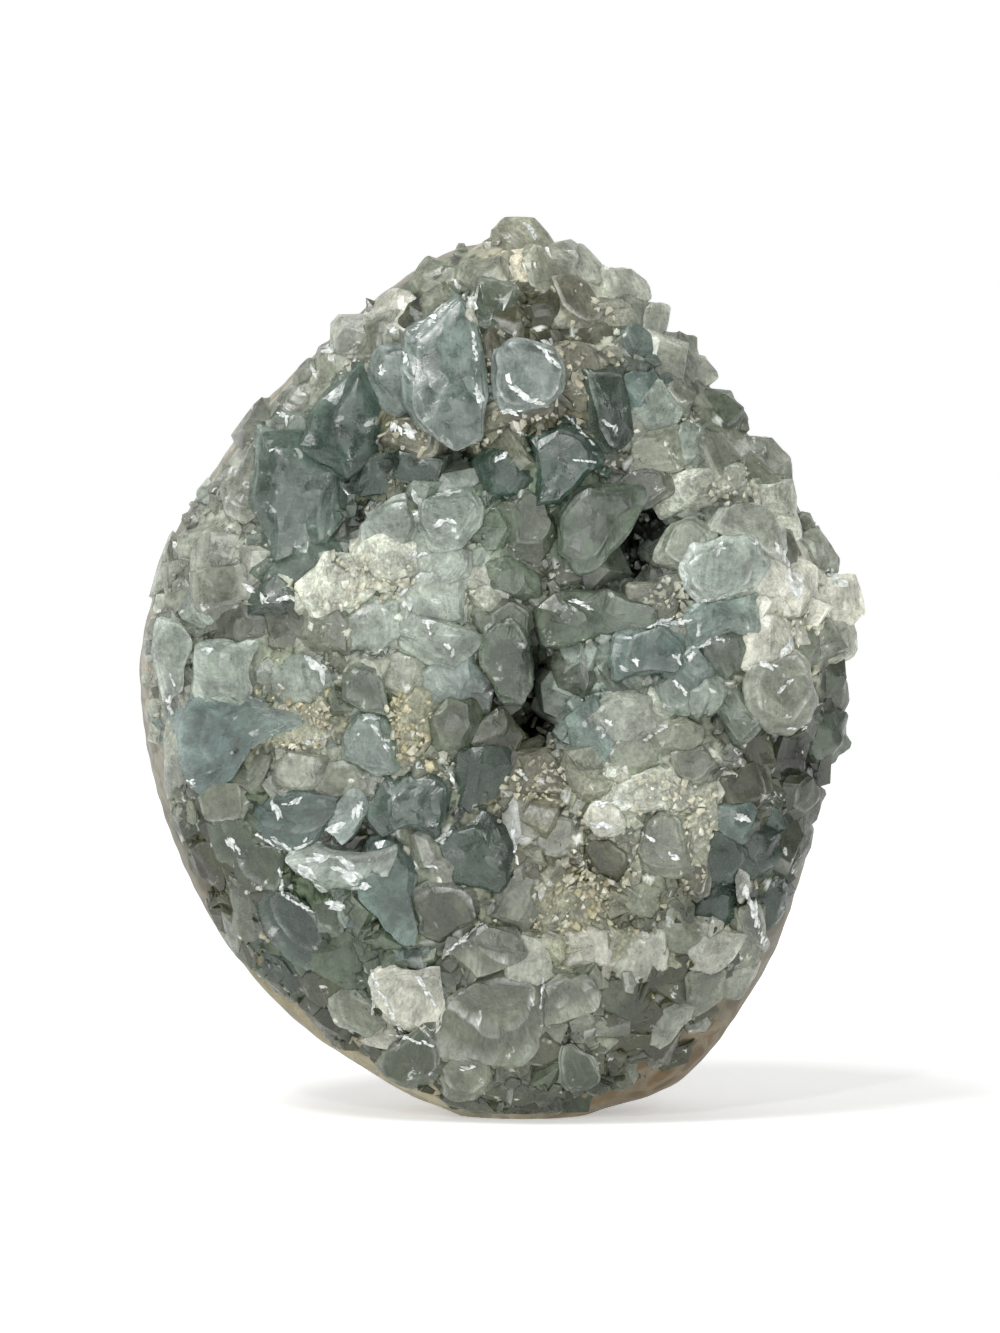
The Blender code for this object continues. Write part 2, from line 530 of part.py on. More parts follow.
def make_crust(group, cutters):
    """The crystal crust: bed and crystals as one body, ground back to the teardrop, a touch gap off the stone.

    The exact solver leaves little of the body when it cuts the joined crystals, so both cuts use the manifold one.
    """
    front = DOME_DEPTH + BED_DEPTH
    bed = teardrop("bed", BED_SIDES, BED_RINGS, front, BED_BACK, BODY_SQUARENESS, bed_edge, True)
    reach = teardrop(
        "reach", LIMIT_SIDES, LIMIT_RINGS, CRYSTAL_REACH, BACK_DEPTH, REACH_SQUARENESS, overhang, False
    )
    cut_below(reach, FOOT_CLEARANCE)
    grown = grown_copy(stone_body("room"), "room", TOUCH_GAP)
    heads = new_object("crystal_heads", crystal_heads(CRYSTALS), cutters, helper=True)
    limit = new_object("ground_limit", reach, cutters, helper=True)
    room = new_object("matrix_room", grown, cutters, helper=True)
    rough = new_object("bed", bed, cutters, helper=True)
    boolean(rough, "UNION", heads, "EXACT")
    joined = evaluated_mesh(rough, "crust_body")
    merge_flat_faces(joined)
    keep_largest_shell(joined)
    body = new_object("crust_body", joined, cutters, helper=True)
    boolean(body, "INTERSECT", limit, "MANIFOLD")
    boolean(body, "DIFFERENCE", room, "MANIFOLD")
    mesh = evaluated_mesh(body, "crystal_crust")
    keep_largest_shell(mesh)
    mesh.materials.clear()
    mesh.materials.append(finish_material("crystal_crust"))
    return new_object("crystal_crust", mesh, group)


def main():
    for old in list(bpy.data.objects):
        bpy.data.objects.remove(old)
    group = new_collection("celestite_geode")
    cutters = new_collection("cutters", hidden=True)
    make_matrix(group)
    make_crust(group, cutters)


main()
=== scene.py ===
"""Celestite geode: a ground teardrop of matrix stone whose domed face is covered with crystals.

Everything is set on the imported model's frame: metres, +Z up, the crystal face looking along -Y and the
ground back along +Y. Lengths below are in millimetres, and MM turns them to metres.
"""

import math

import bpy
import numpy as np
from mathutils import Matrix, Vector
from mathutils.bvhtree import BVHTree


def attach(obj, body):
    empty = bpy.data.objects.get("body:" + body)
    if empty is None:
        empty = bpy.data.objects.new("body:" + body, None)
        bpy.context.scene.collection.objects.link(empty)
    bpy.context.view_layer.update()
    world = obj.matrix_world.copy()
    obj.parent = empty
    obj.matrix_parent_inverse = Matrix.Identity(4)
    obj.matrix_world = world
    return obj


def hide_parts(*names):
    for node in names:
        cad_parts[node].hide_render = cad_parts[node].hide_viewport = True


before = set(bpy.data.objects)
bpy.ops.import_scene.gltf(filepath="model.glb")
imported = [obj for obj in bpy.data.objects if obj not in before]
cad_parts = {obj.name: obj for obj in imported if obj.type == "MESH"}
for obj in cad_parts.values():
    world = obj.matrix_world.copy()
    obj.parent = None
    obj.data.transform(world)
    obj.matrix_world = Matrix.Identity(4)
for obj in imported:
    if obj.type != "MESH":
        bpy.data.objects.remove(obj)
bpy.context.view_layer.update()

MM = 0.001
TINY = 1e-6

# Driving sizes of the stone and its crust
MIDDLE_X = 0.0
MIDDLE_Z = 43.0
WIDEST_Y = -4.4
BACK_DEPTH = 27.5
DOME_DEPTH = 14.0
BED_DEPTH = 2.4
BED_BACK = 6.0
BED_OVERHANG = 0.3
RIM_SHOWN = 0.8
CRYSTAL_REACH = 28.0
GROUND_REACH = 19.0
FOOT_CLEARANCE = 0.6
BODY_SQUARENESS = 2.5
REACH_SQUARENESS = 4.5
GROUND_SQUARENESS = 2.4
# The last shares of the way to an edge or a reach that are worked out, so that nothing is divided by zero
LAST_OF_FACE = 0.995
LAST_OF_REACH = 0.99
# Where the ground part of the rim starts and over how much of the way to the edge it grows
GROUND_FROM = 0.76
GROUND_OVER = 0.12

# The ground stone's mesh, the soft swelling of its back, and dents as (depth, length, random start)
STONE_AROUND = 420
STONE_RINGS = 150
SMOOTH_STEPS = 12
UNEVEN = 0.9
DENTS = ((0.16, 9.0, 51), (0.07, 3.2, 52))
STREAK_RADIUS = 40.0
RIM_TONE_DEPTH = 17.0
BACK_TONE = "#8d897b"

# The crystal bed's grid, how much of it runs over the face, and how far round behind the rim the rest
# goes
BED_CELLS = 290
FACE_PART = 0.86
BEHIND_PART = 0.14
BEHIND_TURN = 0.55
# Its relief: filling between the crystals, then facets as (height, size, random start), and how it fades
# to the rim
BED_FILL = 1.3
LARGE_FACETS = (0.8, 2.3, 5)
FINE_FACETS = (0.45, 1.0, 6)
FACET_TILT = 0.9
RELIEF_FADE = 1.3
# Its light and dark: a plain share, what each facet adds, what joints take away, then dark spots that are
# painted shade of tiny pits, and pale flecks
MOTTLE = 0.7
MOTTLE_LARGE = 0.35
MOTTLE_FINE = 0.5
JOINT_LARGE = 0.25
JOINT_FINE = 0.2
SHADED_SPOT_BELOW = 0.12
SHADED_SPOT_LIGHT = 0.4
FLECKED_ABOVE = 0.93
FLECK_LIGHT = 0.45
# Painted shade in the pits: how fast colour darkens with their depth, on the bed, on small crystals and
# on grains
BED_PIT_SHADE = 0.4
SMALL_PIT_SHADE = 0.25
GRAIN_PIT_SHADE = 0.15

# Scattered points of packed facets: size of the table of random values, free border and free width of
# each cell, and width of a joint
CELL_TABLE = 64
CELL_INSET = 0.1
CELL_ROAM = 0.8
JOINT_WIDTH = 0.25

# How crystals stand on the bed
STEEPEST = 2.2
RIM_SHARE = 0.88
RIM_SLOPE = 1.3
SLOPE_FOLLOWED = 0.62
GROWN_INTO = 1.28
LEAST_PROUD = 1.0
PROUD_SHARE = 0.55
ROOT_BELOW_BED = 1.2
GRAIN_ROOT = 0.9
SLANT_RANGE = 0.16
# Random changes to the main crystals: their leans and turn in degrees, and their place
LEAN_SPREAD = 5
TURN_SPREAD = 15
PLACE_SPREAD = 0.35
# Unevenness of a head's corners as a share of its size: for plain heads, and for drawn ones, which also
# grow less
PLAIN_UNEVEN = 0.06
DRAWN_UNEVEN = 0.02
DRAWN_GROWN = 1.12
# How far bevels cut in: on main crystals, small ones and grains, and at most as a share of the width
MAIN_CUT = 0.3
SMALL_CUT = 0.2
GRAIN_CUT = 0.06
MOST_CUT = 0.08

# How finely a crystal is made: a plain grain, a small crystal, or a main one whose long sides have three
# parts
GRAIN, SMALL, MAIN = 0, 1, 3
# By that: width of the root, painted light and shade of each ring of points from the root up (crystals
# lighter low down, to lift the shade in the crevices between them; grains a little darker at the root),
# which rings are edges that may get a painted highlight, how much of its patch's tone a crystal takes, and
# how many flat chips its crown has lost
ROOT_SCALE = {GRAIN: 0.94, SMALL: 1.2, MAIN: 1.1}
RING_PAINTED_LIGHT = {
    GRAIN: (0.9, 1.0),
    SMALL: (1.4, 1.3, 1.12, 0.95),
    MAIN: (1.55, 1.55, 1.3, 1.1, 1.05, 1.08, 1.0, 0.95, 0.92),
}
EDGE_LEVELS = {GRAIN: (0, 0), SMALL: (0, 0.2, 1, 0), MAIN: (0, 0.3, 0.5, 0, 0, 1, 0, 0, 0)}
PATCH_MIX = {GRAIN: 0.4, SMALL: 0.5, MAIN: 0.3}
CHIPS = {GRAIN: 0, SMALL: 3, MAIN: 8}
# Chips: tilt of their planes in degrees, and how far out they lie as shares of the half width, on plain
# heads and on the four named ones
CHIP_TIP = (18.0, 70.0)
CHIP_REACH = (0.5, 1.15)
FINE_CHIP_REACH = (0.95, 1.2)
# Crown: its random shift, depth, unevenness on plain and on named heads, and what is left of the outline
# at its top
CROWN_SHIFT = 0.07
CROWN_DEPTH = (0.5, 1.1)
CROWN_UNEVEN = (0.06, 0.02)
UNEVEN_RANGE = (-3.0, 2.0)
KEEP_RANGE = (0.85, 1.08)
POINT_RANGE = (0.08, 0.3)
RIDGE_RANGE = (0.5, 0.85)
FLAT_CROWNS = 0.45
FLAT_OR_RIDGED = 0.8
# Crown rings: share and rise of the inner one, rise of the middle, how much less the crown's corners are
# cut, how far the rim's bevel goes at most, and the girdle's bevel inwards and upwards
INNER_SHARE = 0.95
INNER_RISE = 0.15
MIDDLE_RISE = 0.2
CROWN_CUT = 0.5
RIM_MOST = 0.4
GIRDLE_IN = 0.8
GIRDLE_UP = 0.35
FACET_STEPS = (0, 0.5, 0.93)
SOFT_FROM = 5
# Painted highlights on edges: their colour and light, random shares by crystal, point and side, and how
# narrow a crown's top may be before its edges stay dull
EDGE_HEX = "#d9dcd8"
EDGE_LIGHT = 0.9
EDGE_BY_CRYSTAL = (0.4, 1)
EDGE_BY_POINT = (0.3, 1)
EDGE_BY_SIDE = (0, 1.2)
DULL_BELOW = 0.3
DULL_FADE = 0.25
SIDE_SHADES = (0.9, 1.1)
# How far apart the crystals' own patterns start, so that no two are alike
PATTERN_SPREAD = 500
# Soft bends of all crystals: (large, small) moves along x, y and z, and the waves' lengths and random
# starts
WARPS = ((0.3, 0.16), (0.14, 0.03), (0.3, 0.16))
WARP_WAVES = ((6.0, 60), (2.2, 70))
WAVE_SPREAD = (0.7, 1.5)
NAMED_FORMS = ("kite", "shield", "slate", "tooth")

# Random starts of the main crystals, small crystals, grains and painted glint flakes
MAIN_START = 11
SMALL_START = 23
GRAIN_START = 37
GLINT_FLAKE_START = 53

# Small crystals: spacing, least and largest size, least and most proud of the bed, and how far outside
# the main ones
SMALL_SIZES = (
    (3.2, 3.0, 5.2, 0.9, 1.9, 0.78),
    (2.1, 1.8, 3.4, 1.0, 1.9, 0.86),
    (1.4, 1.1, 2.0, 1.0, 1.8, 0.95),
)
SMALL_FORMS = ("block", "hex", "round", "block", "hex", "wedge", "slab")
SMALL_STRETCH = (0.82, 1.22)
SMALL_LEAN = 15
SMALL_SHADES = (0.8, 1.2)
SMALL_INSET = 0.45
# Share of them toned like the nearest main crystal, and how deep a pit may be that still holds them
LIKE_NEAREST = 0.5
PIT_DEPTH = 2.6
# How much of a pit's depth, and of the ground rim, small things stand back by
PIT_FOLLOWED = 0.9
GROUND_FOLLOWED = 0.9
GRAIN_GROUND_FOLLOWED = 0.8
# The square that places are scattered over, and how far outside the stone they go at most
SCATTER_RANGE = (-40.0, 92.0)
MOST_OVERHANG = 2.4

# Sugary grains: spacing and random start of their places, sizes, how many are larger and by how much
GRAIN_SPACING = 0.52
GRAIN_PLACES_START = 77
GRAIN_SIZES = (0.2, 0.52)
LARGER_SHARE = 0.1
LARGER_BY = 0.3
GRAIN_STRETCH = 1.1
GRAIN_LEAN = 22
GRAIN_PROUD = (0.9, 2.0)
GRAIN_ON_MILKY = (-0.3, 0.4)
GRAIN_RIM = 0.6
GRAIN_CLEAR_OF_MAIN = 0.7
GRAIN_SHADES = (0.5, 1.4)
SUGAR_SHADES = (0.7, 1.1)
# Share of the places that hold a grain, and share of the grains that are sugary: everywhere, in sugary
# patches, on milky crystals and at the edges of pits
GRAIN_SHARES = (0.1, 0.9, 0.3, 0.35)
SUGAR_SHARES = (0.1, 0.8, 0.5)
PIT_EDGE_DEPTH = 2.0
PIT_EDGE_WIDTH = 1.2
# Sugar grains: four pale ones, then four for the golden patches
SUGAR_HEXES = ("#cfcab2", "#c2bea9", "#dcdacd", "#adab9b", "#c2b995", "#a99f7d", "#d1c8a8", "#dbd6c2")

# Flakes of painted glint along the glint lines: sides, least number and number by length, sizes, scatter,
# tilt and turn, length and width as shares of the line's width, unevenness, and how far they stand proud of
# the face and reach under it
FLAKE_SIDES = 6
FLAKES_LEAST = 3
FLAKES_BY_LENGTH = 2.2
FLAKE_SIZES = (0.4, 1.2)
FLAKE_SCATTER = 0.2
FLAKE_TILT = 0.12
FLAKE_TURN = 0.5
FLAKE_LENGTH = 1.9
FLAKE_WIDTH = 0.75
FLAKE_RADII = (0.5, 1.2)
FLAKE_SKEW = 0.4
FLAKE_TOP = 0.9
FLAKE_PROUD = 0.06
FLAKE_UNDER = 0.2

# The frame at the stone's widest plane, and the camera
FRAME_HEIGHT = 133.3
FRAME_MIDDLE_Z = 44.85
CAMERA_DISTANCE = 800.0
CAMERA_ELEVATION = 3.0
SENSOR = 36.0
CLIP_END_M = 10.0
# The paper sweep: half depth, steps along it, where its bend starts and how much of it the bend takes,
# the bend's radius, and the wall above it
SWEEP_SPAN = 1900.0
SWEEP_STEPS = 40
BEND_FROM = 0.55
BEND_TAKES = 0.3
BEND_RADIUS = 300.0
WALL_HEIGHT = 6000.0
PAPER = 0.93
PAPER_GLOW = 0.35
ROOM_LIGHT = 0.4
# Square area lights: name, place, size, watts
LIGHTS = (
    ("window", (-260, -300, 720), 260, 3.9),
    ("fill", (80, -880, 190), 360, 1.7),
    ("lamp", (-160, -620, 420), 20, 0.7),
    ("small_lamp", (260, -560, 330), 14, 0.3),
)

# The ground stone's outline seen from the front, as (x, z), anticlockwise from the right
STONE_OUTLINE = (
    (33.0, 45.0), (32.0, 54.0), (28.8, 61.4), (24.8, 67.0), (20.8, 72.0), (16.0, 77.6), (10.2, 82.8),
    (4.0, 86.8), (-3.6, 86.8), (-10.6, 82.9), (-17.2, 77.2), (-23.7, 70.7), (-29.4, 63.2), (-33.7, 55.6),
    (-35.9, 46.0), (-35.3, 36.6), (-32.2, 26.2), (-27.2, 17.0), (-20.4, 9.4), (-12.4, 4.0), (-4.8, 0.1),
    (2.6, -1.9), (9.6, 0.1), (18.4, 3.9), (25.4, 12.4), (29.6, 22.0), (32.0, 33.4),
)
# How far crystals may stand outside that outline, as (degrees anticlockwise from the right, millimetres)
OVERHANG = (
    (-180, 0.1), (-60, 0.1), (-36, 0.1), (-27, 0.6), (-16, 1.3), (-9, 2.7), (10, 3.7), (60, 3.9), (78, 3.2),
    (90, 2.4), (94, 0.6), (104, 0.7), (113, 1.4), (128, 1.0), (145, 0.5), (180, 0.1),
)
# Width of the ground rim that crystals leave bare, as (degrees, millimetres)
BARE_RIM = (
    (-180, 0.9), (-140, 1.2), (-110, 1.4), (-85, 2.0), (-62, 3.6), (-45, 2.2), (-30, 0.8), (0, 0.8),
    (90, 0.5), (130, 0.5), (160, 0.8), (180, 0.9),
)
# Tones of the ground matrix rock and of the iron stains in it
STONE_TONES = {
    "grey": "#99968a",
    "buff": "#a39c82",
    "dull": "#605e50",
    "olive_stain": "#6b6336",
    "brown_stain": "#5e4c2c",
}
# Where each tone sits round the rim, as (degrees, tone)
RIM_TONES = (
    (-180, "grey"), (-150, "dull"), (-130, "olive_stain"), (-105, "buff"), (-90, "buff"),
    (-75, "brown_stain"),
    (-60, "brown_stain"), (-45, "dull"), (-25, "dull"), (0, "grey"), (180, "grey"),
)
# How far the outline's crystals are ground to a bevel, from 0 for natural tips to 1, as (degrees, share)
GROUND_SHARE = (
    (-180, 1.0), (-32, 1.0), (-18, 0.0), (112, 0.0), (135, 0.8), (180, 1.0),
)
# Hollows of the face, as (x, z, half width, half height, depth)
HOLLOWS = (
    (6.0, 50.0, 21.0, 26.0, 3.0),
    (3.6, 45.6, 2.2, 6.6, 6.0),
    (2.6, 40.2, 3.4, 2.8, 7.5),
    (12.6, 56.6, 3.6, 5.4, 7.0),
    (16.6, 61.2, 2.6, 2.6, 5.0),
    (-4.8, 65.4, 2.6, 2.0, 5.5),
    (-15.4, 58.6, 2.2, 1.9, 5.5),
    (29.4, 36.8, 3.0, 2.6, 4.0),
    (-13.4, 27.8, 2.2, 1.4, 4.0),
)

# Outlines of the crystals' heads in a unit square, anticlockwise
HEAD_OUTLINES = {
    "kite": ((0.13, 0.50), (-0.40, 0.24), (-0.50, -0.01), (-0.47, -0.26), (-0.22, -0.42), (0.12, -0.50),
             (0.40, -0.45), (0.50, -0.01), (0.36, 0.34)),
    "shield": ((0.03, 0.50), (-0.29, 0.48), (-0.46, 0.24), (-0.50, -0.17), (-0.40, -0.41), (-0.08, -0.50),
               (0.24, -0.41), (0.45, -0.21), (0.50, 0.17), (0.34, 0.38)),
    "slate": ((-0.40, 0.50), (-0.45, 0.02), (-0.26, -0.50), (0.25, -0.36), (0.46, -0.12), (0.50, 0.08),
              (0.02, 0.49)),
    "tooth": ((0.09, 0.50), (-0.30, 0.20), (-0.50, -0.20), (-0.05, -0.50), (0.40, -0.30), (0.50, 0.05)),
    "block": ((-0.50, 0.40), (-0.46, -0.46), (0.34, -0.50), (0.50, -0.30), (0.46, 0.50)),
    "hex": ((0.00, 0.50), (-0.50, 0.22), (-0.42, -0.30), (0.08, -0.50), (0.50, -0.20), (0.44, 0.26)),
    "slab": ((-0.40, 0.50), (-0.50, -0.36), (-0.24, -0.50), (0.46, -0.46), (0.50, 0.40)),
    "wedge": ((-0.10, 0.50), (-0.44, 0.08), (-0.50, -0.40), (0.30, -0.50), (0.50, -0.24)),
    "diamond": ((0.04, 0.50), (-0.50, 0.02), (-0.06, -0.50), (0.50, -0.06)),
    "round": ((-0.10, 0.50), (-0.50, 0.20), (-0.42, -0.34), (0.06, -0.50), (0.50, -0.24), (0.42, 0.34)),
}
# Crown of each head: width and height left at the top, its shift sideways and upwards, and its depth by
# size
CROWNS = {
    "kite": (0.86, 0.88, 0.00, -0.01, 0.10),
    "shield": (0.74, 0.78, 0.05, 0.03, 0.14),
    "slate": (0.80, 0.36, 0.02, 0.13, 0.20),
    "tooth": (0.42, 0.72, 0.05, 0.00, 0.22),
    "block": (0.70, 0.72, -0.06, 0.05, 0.22),
    "hex": (0.50, 0.60, 0.06, 0.08, 0.26),
    "slab": (0.56, 0.80, -0.08, 0.00, 0.24),
    "wedge": (0.12, 0.24, 0.04, 0.04, 0.40),
    "diamond": (0.24, 0.24, 0.02, 0.04, 0.34),
    "round": (0.64, 0.64, -0.03, 0.06, 0.20),
}
MEASURED_CROWN = (0.74, 0.74, 0.0, 0.03, 0.14)

# Tones of the crystals: colour and how clear they are
TONES = {
    "slate": ("#667f79", "clear"),
    "slate_dark": ("#395247", "clear"),
    "green_dark": ("#426157", "clear"),
    "blue": ("#7c9793", "clear"),
    "teal": ("#4e6b5f", "clear"),
    "blue_grey": ("#6c7f78", "cloudy"),
    "teal_pale": ("#8a968b", "cloudy"),
    "ice": ("#919c92", "cloudy"),
    "glass": ("#7d8b86", "cloudy"),
    "white": ("#d2d2c2", "cloudy"),
    "frost": ("#b3b6a8", "cloudy"),
    "pale": ("#979b8e", "cloudy"),
    "grey": ("#757b6c", "cloudy"),
    "stone_grey": ("#5e6454", "cloudy"),
    "slate_grey": ("#465340", "cloudy"),
    "grey_dark": ("#3d4332", "cloudy"),
    "grey_green": ("#738370", "clear"),
    "sage": ("#7e8472", "cloudy"),
    "cream": ("#b9bdad", "milky"),
    "beige": ("#bdb7a0", "milky"),
    "brown": ("#5c5b48", "milky"),
    "golden": ("#90927b", "milky"),
    "olive": ("#343619", "cloudy"),
    # Painted shade: a near black put in the deep hollows
    "hollow_shade": ("#101206", "cloudy"),
}

